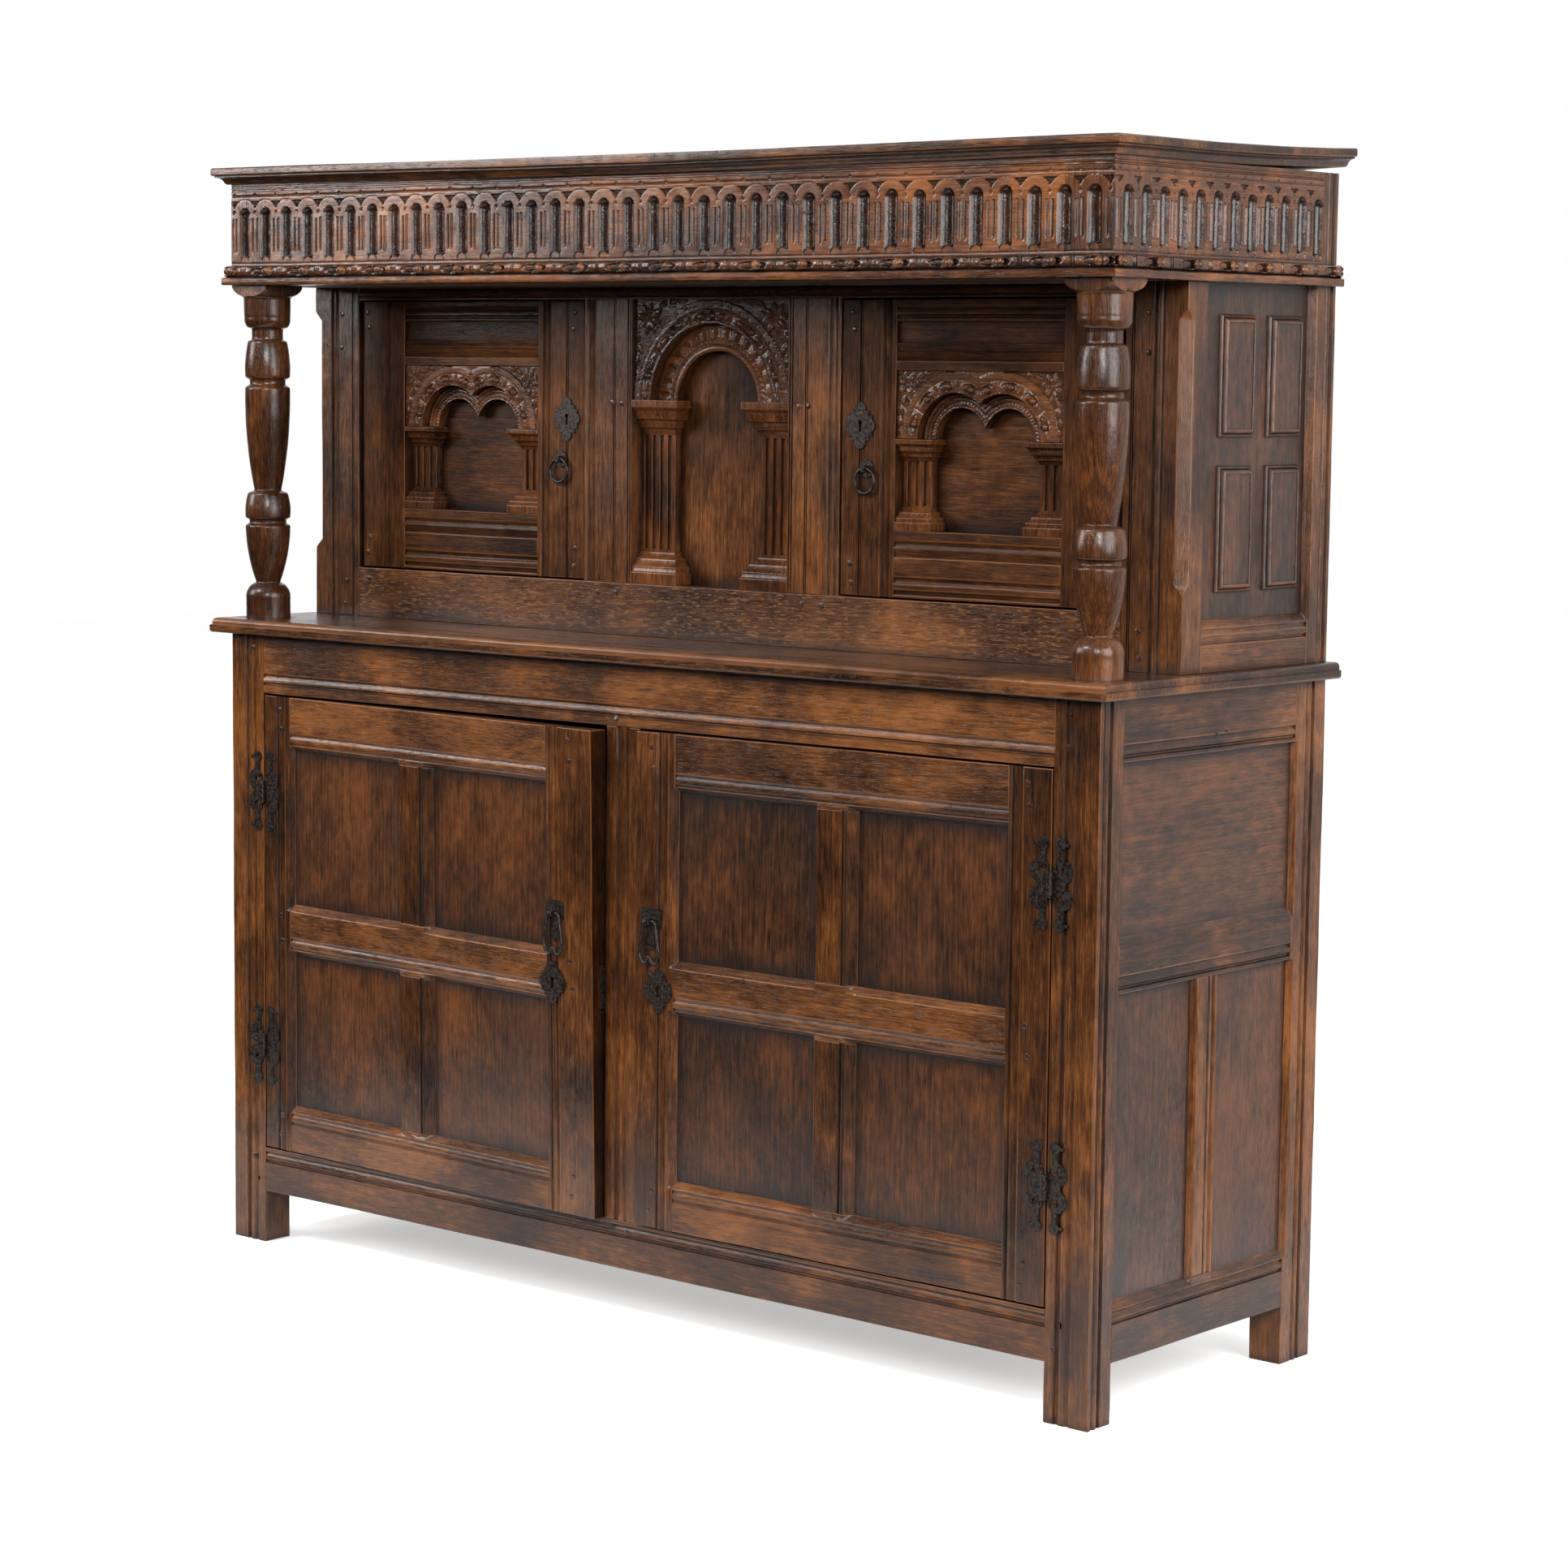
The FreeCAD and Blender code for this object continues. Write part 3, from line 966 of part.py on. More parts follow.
head_span, sill_span = (-upper_stile_x, upper_stile_x), (-upper_stile_x, upper_stile_x)
sill = rail("sill_rail", sill_span, back, (counter_top, sill_top), upper_thick)
sill_strip = tongue("sill_tenons", sill_span, back, (counter_top, sill_top))
head_run = (s.overrun * 0.4, mould, s.channel_deep, scratch_shares)
head = rail("head_rail", head_span, back, (head_low, head_high), upper_thick, runs=[head_run])
head_strip = tongue("head_tenons", head_span, back, (head_low, head_high))
upper_rail_tools = together("upper_tenon_tools", [sill_strip, head_strip])
upper_muntin_up = (sill_top, head_low)
runs = [(s.overrun * 0.4, s.overrun * 1.4, s.channel_deep, scratch_shares),
        (s.upper_muntin_wide * 0.33, s.overrun, s.channel_deep, scratch_shares),
        (s.upper_muntin_wide * 0.76, mould, s.channel_deep, ogee_shares)]
upper_muntin = upright("upper_muntin", bay, back, upper_muntin_up, s.upper_muntin_wide, upper_thick, runs=runs)
upper_muntin_strip = standing_tongue("upper_muntin_tenons", (bay, muntin_out), back, upper_muntin_up)
upper_muntin = fused("joined_upper_muntin", [upper_muntin, upper_muntin_strip])

centre_y = back + s.centre_panel_sunk
centre_up = (sill_top, head_low)
centre_boards = [block("centre_board", (-bay - s.groove_deep, NONE), (centre_y, centre_y + s.panel_thick),
                       (sill_top - s.groove_deep, head_low + s.groove_deep))]
centre_boards.append(mirrored(centre_boards[0]))
centre_tool = block("centre_tool", (-bay - s.groove_deep, bay + s.groove_deep),
                    (centre_y, centre_y + s.panel_thick), (sill_top - s.groove_deep, head_low + s.groove_deep))

muntin_strips = together("upper_muntin_strips", pair(upper_muntin_strip))
sill = cut(fused("joined_sill", [sill, sill_strip]), muntin_strips, centre_tool)
head = cut(fused("joined_head", [head, head_strip]), muntin_strips, centre_tool)
upper_front_stile = cut(upper_front_stile, upper_rail_tools)
keeper_y = back + s.upper_door_setback
upper_muntin = cut(upper_muntin, centre_tool, keeper("upper_keeper", muntin_out, -1, upper_key_z, keeper_y))

# Centre arcade: an arch of two orders on two fluted pilasters with stepped caps and bases


def stepped_profile(out, shaft, low_tall, shaft_tall, high_tall):
    """Outline of a pilaster from its foot up: how far it stands out, stepped at base and cap."""
    base_steps = ((1, 0), (1, 0.36), (0.86, 0.42), (0.86, 0.56), (0.6, 0.66), (0.5, 0.8), (0.18, 0.88), (0.1, 1))
    cap_steps = ((0.06, 0), (0.14, 0.14), (0.3, 0.18), (0.42, 0.38), (0.62, 0.44), (0.72, 0.66), (0.84, 0.7),
                 (1, 0.8), (1, 1))
    points = [(shaft + (out - shaft) * share, low_tall * up) for share, up in base_steps]
    points += [(shaft, low_tall * 1.02), (shaft, low_tall + shaft_tall * 0.99)]
    points += [(shaft + (out - shaft) * share, low_tall + shaft_tall + high_tall * up) for share, up in cap_steps]
    return points + [(NONE, low_tall + shaft_tall + high_tall), (NONE, NONE)]


def profile_bar(name, points, length, turn, x, y, z):
    """A bar padded from an outline that stands on edge; turn gives the way it faces."""
    body = doc.addObject("PartDesign::Body", name)
    pad = body.newObject("PartDesign::Pad", "length")
    pad.Profile = outline_sketch(body, points, "XZ_Plane")
    bind(pad, "Length", length)
    body.Placement = FreeCAD.Placement(V(), FreeCAD.Rotation(V(0, 0, 1), turn))
    for letter, size in zip("xyz", (x, y, z)):
        bind(body, "Placement.Base." + letter, size)
    return body


def pilaster(name, x, panel_y, low, deep, wide, shaft_wide, talls, flutes):
    """A pilaster that grows to the right from x: the same steps on its front and on its right return."""
    base_tall, shaft_tall, cap_tall = talls
    returned = profile_bar(name, stepped_profile(wide, shaft_wide, *talls), deep, 0, x, panel_y, low)
    fronted = profile_bar(name, stepped_profile(deep, s.shaft_out * 1, *talls), wide, -90, x + wide, panel_y, low)
    shape = common(returned, fronted)
    groove = shaft_wide / (flutes * 2 + 1)
    tools = [block("flute", (x + groove * (number * 2 + 1), x + groove * (number * 2 + 2)),
                   (panel_y - s.shaft_out - s.overrun, panel_y - s.shaft_out * 0.75),
                   (low + base_tall * 1.1, low + base_tall + shaft_tall * 0.985)) for number in range(flutes)]
    return cut(shape, together("flute_tools", tools))


def arch_order(name, along, up, deep, centres, radius):
    """A board with one or two round arches cut through it."""
    board = block(name, along, deep, up)
    for x, z in centres:
        hole = rod("arch_hole", radius, deep[1] - deep[0] + s.overrun * 2, x, deep[0] - s.overrun, z, "Y")
        board = cut(board, hole)
    return board


spring_z = head_low - s.centre_cap_down
centre_spring = head_low - s.centre_spring_down
centre_talls = (s.centre_base_tall, spring_z - s.centre_cap_tall - sill_top - s.centre_base_tall,
                s.centre_cap_tall)
centre_pilaster = pilaster("centre_pilaster", -bay, centre_y, sill_top, s.centre_panel_sunk, s.centre_cap_wide,
                           s.centre_shaft_wide, centre_talls, 4)
order = s.arch_order_thick
inner_order = arch_order("centre_inner_order", (-bay, bay), (spring_z, head_low), (centre_y - order, centre_y),
                         [(NONE, centre_spring)], s.centre_arch_radius)
outer_order = arch_order("centre_outer_order", (-bay, bay), (spring_z, head_low),
                         (centre_y - order * 2, centre_y - order), [(NONE, centre_spring)],
                         s.centre_order_radius)
centre_arch = fused("centre_arch", [inner_order, outer_order])

# Upper side frames: a sill rail and one large panel with four raised fields

upper_side_span = (back + upper_thick, upper_rear_y)
upper_side_up = (counter_top, counter_top + s.upper_side_rail_tall)
side_rail_run = (s.upper_side_rail_tall - s.upper_side_chamfer - mould * 1.2, mould * 1.2, s.channel_deep,
                 scratch_shares)
upper_side_rail = rail("upper_side_rail", upper_side_span, NONE, upper_side_up, s.frame_thick, face="side",
                       runs=[side_rail_run])
upper_side_strip = tongue("upper_side_tenons", upper_side_span, NONE, upper_side_up, face="side")
upper_side_rail = fused("joined_upper_side_rail", [upper_side_rail, upper_side_strip])
upper_panel_up = (upper_side_up[1], frieze_low)
upper_side_panel = panel("upper_side_panel", upper_side_span, s.upper_panel_sunk, upper_panel_up,
                         s.panel_thick, face="side")
upper_panel_tool = panel("upper_side_panel_tool", upper_side_span, s.upper_panel_sunk, upper_panel_up,
                         s.panel_thick, face="side")
upper_side_edge = chamfer("upper_side_slope", upper_side_span, NONE, upper_panel_up, s.upper_panel_sunk, NONE,
                          s.side_stop_chamfer, s.upper_side_chamfer, NONE, face="side")
fields = []
for column in range(2):
    front_edge = upper_side_span[0] + s.field_inset + (s.field_wide + s.field_gap) * column
    low_row = upper_side_up[1] + s.field_up
    high_row = low_row + s.field_low_tall + s.field_row_gap
    for low, field_tall in ((low_row, s.field_low_tall), (high_row, s.field_high_tall)):
        field = doc.addObject("Part::Wedge", "raised_field")
        border = s.field_border
        for name, size in (("Xmin", border), ("Xmax", s.field_wide - border), ("Ymin", NONE),
                           ("Ymax", s.field_raised), ("Zmin", border), ("Zmax", field_tall - border),
                           ("X2min", NONE), ("X2max", s.field_wide), ("Z2min", NONE), ("Z2max", field_tall)):
            bind(field, name, size)
        fields.append(put(field, "side", front_edge, s.upper_panel_sunk - s.field_raised, low))
upper_side_panel = fused("fielded_panel", [upper_side_panel] + fields)
upper_side_rail = cut(upper_side_rail, upper_panel_tool, upper_side_edge, upper_rail_tools)
side_frieze = cut(side_frieze, upper_panel_tool)
upper_front_stile = cut(upper_front_stile, upper_panel_tool, upper_side_strip)
upper_rear_stile = cut(upper_rear_stile, side_room, upper_panel_tool, upper_side_strip, upper_side_edge)

# Back and soffit of the upper cupboard

upper_back_half = half - s.upper_rear_stile_wide
upper_back_rails, upper_back_tongues = [], []
upper_back_low = (counter_top, counter_top + s.back_rail_tall)
upper_back_high = (top_low - s.back_rail_tall, top_low)
for up in (upper_back_low, upper_back_high):
    bar = block("upper_back_rail", (-upper_back_half, upper_back_half), (back_y, s.base_depth), up)
    strip = tongue("upper_back_tenons", (-upper_back_half, upper_back_half), back_y, up)
    upper_back_tongues.append(strip)
    upper_back_rails.append(fused("joined_upper_back_rail", [bar, strip]))
upper_back_tenons = together("upper_back_tenon_tools", upper_back_tongues)
upper_back_boards = back_boards(upper_back_half, upper_back_low[1], upper_back_high[0])
upper_back_tools = together("upper_back_tools", upper_back_boards)
upper_back_rails = [cut(bar, upper_back_tools, upper_side_strip, mirrored(upper_side_strip))
                    for bar in upper_back_rails]
upper_rear_stile = cut(upper_rear_stile, upper_back_tenons, upper_back_tools)

soffit_up = (frieze_low, frieze_low + s.soffit_thick)
soffit_half = frieze_half - s.frieze_thick
soffit_front, soffit_back = s.frieze_front + s.frieze_thick, back
soffit = [block("soffit_board", (left, right), (soffit_front, soffit_back), soffit_up)
          for left, right in ((-soffit_half, -soffit_half / 3), (-soffit_half / 3, soffit_half / 3),
                              (soffit_half / 3, soffit_half))]
post_rooms = pair(block("post_room", post_span, post_deep, frieze_up))
soffit = [cut(board, *post_rooms) for board in soffit]

# Pivot pins of the upper doors stand in the sill and hang from the head rail

pivot_x = -(upper_stile_x - s.door_gap - s.pivot_inset)
pivot_y = back + s.upper_door_setback + s.pivot_inset
pins = []
for low in (sill_top - s.pivot_grip, head_low - s.door_gap - s.pivot_grip):
    pins += pair(rod("pivot_pin", s.pivot_radius, s.pivot_grip * 2 + s.door_gap, pivot_x, pivot_y, low))
sill_pin_room = together("sill_pins", pins[:2])
head_pin_room = together("head_pins", pins[2:])
sill, head = cut(sill, sill_pin_room), cut(head, head_pin_room)

node("counter_boards", counter_boards)
node("upper_front_stiles", pair(upper_front_stile))
node("upper_rear_stiles", pair(upper_rear_stile))
node("upper_front_rails", [sill, head])
node("upper_muntins", pair(upper_muntin))
node("centre_panel", centre_boards)
node("centre_arcade", [centre_arch] + pair(centre_pilaster))
node("upper_side_rails", pair(upper_side_rail))
node("upper_side_panels", pair(upper_side_panel))
node("back_rails", back_rails + upper_back_rails)
node("back_boards", base_back_boards + upper_back_boards)
node("turned_posts", pair(post))
node("frieze_rails", [front_frieze] + pair(side_frieze))
node("carved_band", [band_front] + pair(band_side))
node("soffit_boards", soffit)
node("top_boards", top_boards)
node("pivot_pins", pins)


# Upper doors: framed round one deep panel with a twin-arched arcade; they turn on the pivot pins

def upper_door(side):
    group = f"upper_{side}_door"
    front = back + s.upper_door_setback
    thick = s.upper_door_thick
    x0, x1 = -(upper_stile_x - s.door_gap), -(muntin_out + s.door_gap)
    low, high = sill_top + s.door_gap, head_low - s.door_gap
    inner = (x0 + s.upper_hinge_stile, x1 - s.upper_lock_stile)
    up = (low + s.upper_door_bottom_rail, high - s.upper_door_top_rail)
    round_edge = s.pivot_inset
    wide = s.upper_hinge_stile
    hinge_outline = [(NONE, round_edge), (round_edge, NONE, round_edge * 0.292893),
                     (wide * 0.62, NONE), (wide * 0.64, s.strip_sunk * 0.4), (wide * 0.68, s.strip_sunk * 0.4),
                     (wide * 0.7, NONE), (wide, NONE), (wide, thick), (NONE, thick)]
    hinge_stile = member("hinge_stile", hinge_outline, high - low, "front", x0, front, low)
    lock_runs = [(s.upper_lock_stile * 0.08, mould, s.channel_deep, ogee_shares),
                 (s.upper_lock_stile * 0.62, s.overrun, s.channel_deep, scratch_shares)]
    lock_stile = upright("lock_stile", inner[1], front, (low, high), s.upper_lock_stile, thick, runs=lock_runs)
    top_tall = s.upper_door_top_rail
    sunk = s.strip_sunk
    strip_shares = ((0, 0), (0.02, 1), (0.98, 1), (1, 0))
    top_runs = [(top_tall * 0.13, mould * 1.15, s.channel_deep, ogee_shares),
                (top_tall * 0.38, top_tall * 0.31, sunk, strip_shares),
                (top_tall * 0.73, mould, s.channel_deep, scratch_shares)]
    bottom_tall = s.upper_door_bottom_rail
    bottom_runs = [(bottom_tall * 0.04, mould * 1.4, s.channel_deep, scratch_shares),
                   (bottom_tall * 0.6, mould * 1.3, s.channel_deep, ogee_shares)]
    rails, strips = [], []
    for span, runs in (((up[1], high), top_runs), ((low, up[0]), bottom_runs)):
        bar = rail("upper_door_rail", inner, front, span, thick, runs=runs)
        strip = tongue("upper_door_tenons", inner, front, span)
        strips.append(strip)
        rails.append(fused("joined_upper_door_rail", [bar, strip]))
    panel_y = front + s.upper_door_panel_sunk
    board = panel("upper_door_panel", inner, panel_y, up, s.upper_door_panel_thick)
    strip_tool = together("upper_door_tenon_tools", strips)

    free_edge = x1
    key_x, ring_x = free_edge - s.upper_key_inset, free_edge - s.ring_inset
    case, bolt, case_room, channel = lock(free_edge, -1, front, thick, upper_key_z)
    bolt_room = cut(channel, case_room)
    key_tool = keyhole("stile_keyhole", key_x, front, upper_key_z, thick - s.lock_let_in)
    bore = rod("pivot_bore", s.pivot_radius + s.bore_gap, high - low + s.overrun * 2, pivot_x, pivot_y,
               low - s.overrun)
    solid_middle = block("bore_end", (x0, x0 + wide), (front, front + thick),
                         (low + s.pivot_grip + s.running_gap, high - s.pivot_grip - s.running_gap))
    bores = cut(bore, solid_middle)
    hinge_stile = cut(hinge_stile, strip_tool, board, bores)
    lock_stile = cut(lock_stile, strip_tool, board, case_room, key_tool, bolt_room)
    rails = [cut(bar, board) for bar in rails]
    case = cut(case, keyhole("case_keyhole", key_x, front + thick - s.lock_let_in, upper_key_z,
                             s.lock_let_in / 3))

    twin_spring = up[1] - s.twin_spring_down
    talls = (s.door_base_tall, twin_spring - s.door_cap_tall - up[0] - s.door_base_tall, s.door_cap_tall)
    left_pilaster = pilaster("door_pilaster", inner[0], panel_y, up[0], s.upper_door_panel_sunk,
                             s.door_cap_wide, s.door_shaft_wide, talls, 3)
    centre = (inner[0] + inner[1]) / 2
    right_pilaster = doc.addObject("Part::Mirroring", "door_pilaster")
    right_pilaster.Source = left_pilaster
    right_pilaster.Normal = V(1, 0, 0)
    bind(right_pilaster, "Base.x", centre)
    arches = [(centre - s.twin_half_pitch, twin_spring), (centre + s.twin_half_pitch, twin_spring)]
    arch_up = (twin_spring, up[1])
    inner_arch = arch_order("twin_inner", inner, arch_up, (panel_y - order, panel_y), arches, s.twin_arch_radius)
    outer_arch = arch_order("twin_outer", inner, arch_up, (panel_y - order * 2, panel_y - order), arches,
                            s.twin_order_radius)
    arch = fused("twin_arch", [inner_arch, outer_arch])

    key = key_plate(key_x, front, upper_key_z, s.upper_keyplate_wide, s.upper_keyplate_tall)
    ring_z = sill_top + s.ring_up
    rose = rod("ring_rose", s.ring_plate_radius, s.plate_thick, ring_x, front - s.plate_thick, ring_z, "Y")
    lug, lug_bore = ear(ring_x, front, ring_z, s.ring_out, s.ring_wire_radius)
    ring_plate = cut(fused("ring_plate", [rose, lug]), lug_bore)
    ring = doc.addObject("Part::Torus", "ring")
    bind(ring, "Radius1", s.ring_radius)
    bind(ring, "Radius2", s.ring_wire_radius)
    ring.Placement = FreeCAD.Placement(V(), FreeCAD.Rotation(V(1, 0, 0), 90))
    for letter, size in zip("xyz", (ring_x, front - s.ring_out, ring_z - s.ring_radius)):
        bind(ring, "Placement.Base." + letter, size)

    pieces = {"uprights": [hinge_stile, lock_stile], "rails": rails, "panel": [board],
              "arcade": [arch, left_pilaster, right_pilaster], "plates": [key, ring_plate],
              "lock_case": [case], "bolt": [bolt], "ring": [ring]}
    for ending, members in pieces.items():
        members = members if side == "left" else [mirrored(piece) for piece in members]
        node(f"{group}_{ending}", members, group)


upper_door("left")
upper_door("right")

# Rest: both lower doors stand a little open, and the origin goes under the middle of the whole

doc.recompute()
for thing, group in NODES:
    if group.startswith("lower"):
        left = group == "lower_left_door"
        angle = -s.left_door_ajar.value if left else s.right_door_ajar.value
        pivot = V(-axis_x.value if left else axis_x.value, axis_y.value, 0)
        thing.Placement = FreeCAD.Placement(V(), FreeCAD.Rotation(V(0, 0, 1), angle), pivot)
whole = FreeCAD.BoundBox()
for thing, group in NODES:
    whole.add(thing.Shape.optimalBoundingBox())
middle = V(-(whole.XMin + whole.XMax) / 2, -(whole.YMin + whole.YMax) / 2, -whole.ZMin)
for thing, group in NODES:
    thing.Placement = FreeCAD.Placement(middle, FreeCAD.Rotation()).multiply(thing.Placement)

# Check every object and write one file for each piece

failed = [item.Label for item in doc.Objects if "Invalid" in item.State or "Error" in item.State]
for thing, group in NODES:
    solids = thing.Shape.Solids
    if not thing.Shape.isValid() or len(solids) < len(getattr(thing, "Links", [thing])):
        failed.append(thing.Label)
if failed:
    raise RuntimeError("failed: " + ", ".join(failed))
os.makedirs("parts", exist_ok=True)
for thing, group in NODES:
    thing.Shape.exportStep(f"parts/{thing.Label}.step")
print("pieces", len(NODES), "solids", sum(len(thing.Shape.Solids) for thing, group in NODES))
print("box", whole, "moved by", middle)
print("lower pivot", axis_x.value, axis_y.value, "upper pivot", pivot_x.value, pivot_y.value)
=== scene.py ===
import json
import math
import random
import bmesh
import bpy
import numpy as np
from mathutils import Matrix, Vector, noise
from mathutils.bvhtree import BVHTree

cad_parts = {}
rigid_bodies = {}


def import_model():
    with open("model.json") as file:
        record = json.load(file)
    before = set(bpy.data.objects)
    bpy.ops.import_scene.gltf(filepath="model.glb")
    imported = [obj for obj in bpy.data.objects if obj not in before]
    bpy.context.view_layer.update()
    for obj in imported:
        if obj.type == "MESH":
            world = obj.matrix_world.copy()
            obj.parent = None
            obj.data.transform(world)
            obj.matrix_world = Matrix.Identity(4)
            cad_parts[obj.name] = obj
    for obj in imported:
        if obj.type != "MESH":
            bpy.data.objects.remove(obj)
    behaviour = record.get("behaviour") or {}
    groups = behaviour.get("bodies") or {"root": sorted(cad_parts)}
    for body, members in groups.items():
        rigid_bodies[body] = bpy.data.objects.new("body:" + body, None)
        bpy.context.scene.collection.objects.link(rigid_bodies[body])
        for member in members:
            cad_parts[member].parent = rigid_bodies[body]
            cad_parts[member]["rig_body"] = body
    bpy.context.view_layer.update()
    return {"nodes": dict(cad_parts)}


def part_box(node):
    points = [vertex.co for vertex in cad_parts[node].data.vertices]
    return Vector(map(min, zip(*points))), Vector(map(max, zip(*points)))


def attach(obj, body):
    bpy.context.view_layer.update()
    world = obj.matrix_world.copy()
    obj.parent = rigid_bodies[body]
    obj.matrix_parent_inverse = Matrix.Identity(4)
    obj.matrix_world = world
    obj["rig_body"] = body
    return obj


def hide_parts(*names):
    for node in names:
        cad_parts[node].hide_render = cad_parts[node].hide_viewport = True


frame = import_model()

# The viewpoint, the pale floor and the soft studio light.
# The camera stands off the right-hand end at about chest height and looks down a little.
eye = Vector((3.5286, -4.0669, 1.3396))
turned_left, looking_down, tipped = math.radians(40.26), math.radians(6.27), math.radians(0.617)
camera = bpy.data.objects.new("camera", bpy.data.cameras.new("camera"))
camera.data.lens = 86.43
camera.data.sensor_width = 36
camera.matrix_world = (Matrix.Translation(eye) @ Matrix.Rotation(turned_left, 4, "Z")
                       @ Matrix.Rotation(math.radians(90) - looking_down, 4, "X")
                       @ Matrix.Rotation(tipped, 4, "Z"))
bpy.context.scene.collection.objects.link(camera)
bpy.context.scene.camera = camera

# Only the floor close to the object shows in the wax: farther off the studio is dark
near_left, near_right, near_front, near_back, floor_half = -1.5, 1.5, -1.1, 1.1, 12
floor_corners = [(near_left, near_front, 0), (near_right, near_front, 0), (near_right, near_back, 0),
                 (near_left, near_back, 0), (-floor_half, -floor_half, 0), (floor_half, -floor_half, 0),
                 (floor_half, floor_half, 0), (-floor_half, floor_half, 0)]
floor_paint = bpy.data.materials.new("floor_paint")
floor_paint.use_nodes = True
floor_shader = floor_paint.node_tree.nodes["Principled BSDF"]
for socket, value in (("Base Color", (0.9, 0.9, 0.9, 1)), ("Roughness", 0.8),
                      ("Emission Color", (1, 1, 1, 1)), ("Emission Strength", 0.45)):
    floor_shader.inputs[socket].default_value = value
for floor_name, floor_faces in (("near_floor", [(0, 1, 2, 3)]),
                                ("far_floor", [(4, 5, 1, 0), (5, 6, 2, 1), (6, 7, 3, 2), (7, 4, 0, 3)])):
    floor_mesh = bpy.data.meshes.new(floor_name)
    floor_mesh.from_pydata(floor_corners, [], floor_faces)
    floor_mesh.materials.append(floor_paint)
    floor = bpy.data.objects.new(floor_name, floor_mesh)
    bpy.context.scene.collection.objects.link(floor)
    floor.visible_glossy = floor_name == "near_floor"
    floor.visible_diffuse = False

world = bpy.data.worlds.new("studio")
world.use_nodes = True
world_tree = world.node_tree
backdrop = world_tree.nodes["Background"]
backdrop.inputs["Color"].default_value = (1, 1, 1, 1)


def shader_node(tree, kind, inputs=None, **settings):
    """One node of a material or of the studio, with its inputs set to values or linked to other nodes."""
    made = tree.nodes.new("ShaderNode" + kind)
    for key, value in settings.items():
        setattr(made, key, value)
    for key, value in (inputs or {}).items():
        if isinstance(value, bpy.types.NodeSocket):
            tree.links.new(value, made.inputs[key])
        else:
            made.inputs[key].default_value = value
    return made


# The room is dark in front, with a dim ceiling and a white backdrop behind; the camera sees plain white
looking = shader_node(world_tree, "TexCoord").outputs["Generated"]
_, facing_y, facing_z = shader_node(world_tree, "SeparateXYZ", {0: looking}).outputs[0:3]
ceiling = shader_node(world_tree, "MapRange", {0: facing_z, 1: 0.1, 2: 0.9, 3: 0.04, 4: 0.4}).outputs[0]
behind = shader_node(world_tree, "MapRange", {0: facing_y, 1: 0.1, 2: 0.65, 3: 0.0, 4: 0.95}).outputs[0]
room = shader_node(world_tree, "Math", {0: ceiling, 1: behind}).outputs[0]
seen = shader_node(world_tree, "LightPath").outputs["Is Camera Ray"]
strength = shader_node(world_tree, "MapRange", {0: seen, 3: room, 4: 1.0}).outputs[0]
world_tree.links.new(strength, backdrop.inputs["Strength"])
bpy.context.scene.world = world
bpy.context.scene.view_settings.view_transform = "Standard"


def softbox(name, place, aim, wide, tall, power):
    """A rectangular studio light that faces a point."""
    light = bpy.data.lights.new(name, "AREA")
    light.shape = "RECTANGLE"
    light.size, light.size_y = wide, tall
    light.energy = power
    lamp = bpy.data.objects.new(name, light)
    lamp.location = place
    lamp.rotation_euler = (Vector(aim) - Vector(place)).to_track_quat("-Z", "Y").to_euler()
    bpy.context.scene.collection.objects.link(lamp)


softbox("left_softbox", (-4.5, -3.5, 2.9), (0, 0, 1.4), 2.2, 2.4, 175)
softbox("high_softbox", (-1.8, -4.2, 4.6), (0, 0, 0.9), 1.6, 1.2, 190)
softbox("front_softbox", (3.6, -5.0, 3.0), (0, 0, 0.8), 1.6, 1.6, 240)
softbox("right_softbox", (4.5, -0.9, 2.1), (0.5, 0, 1.0), 2.7, 2.6, 205)

# Posts and rails of the base.
# They are riven and planed oak, joined by pegged tenons, dark with old wax and paler where hands,
# feet and brooms have rubbed them.


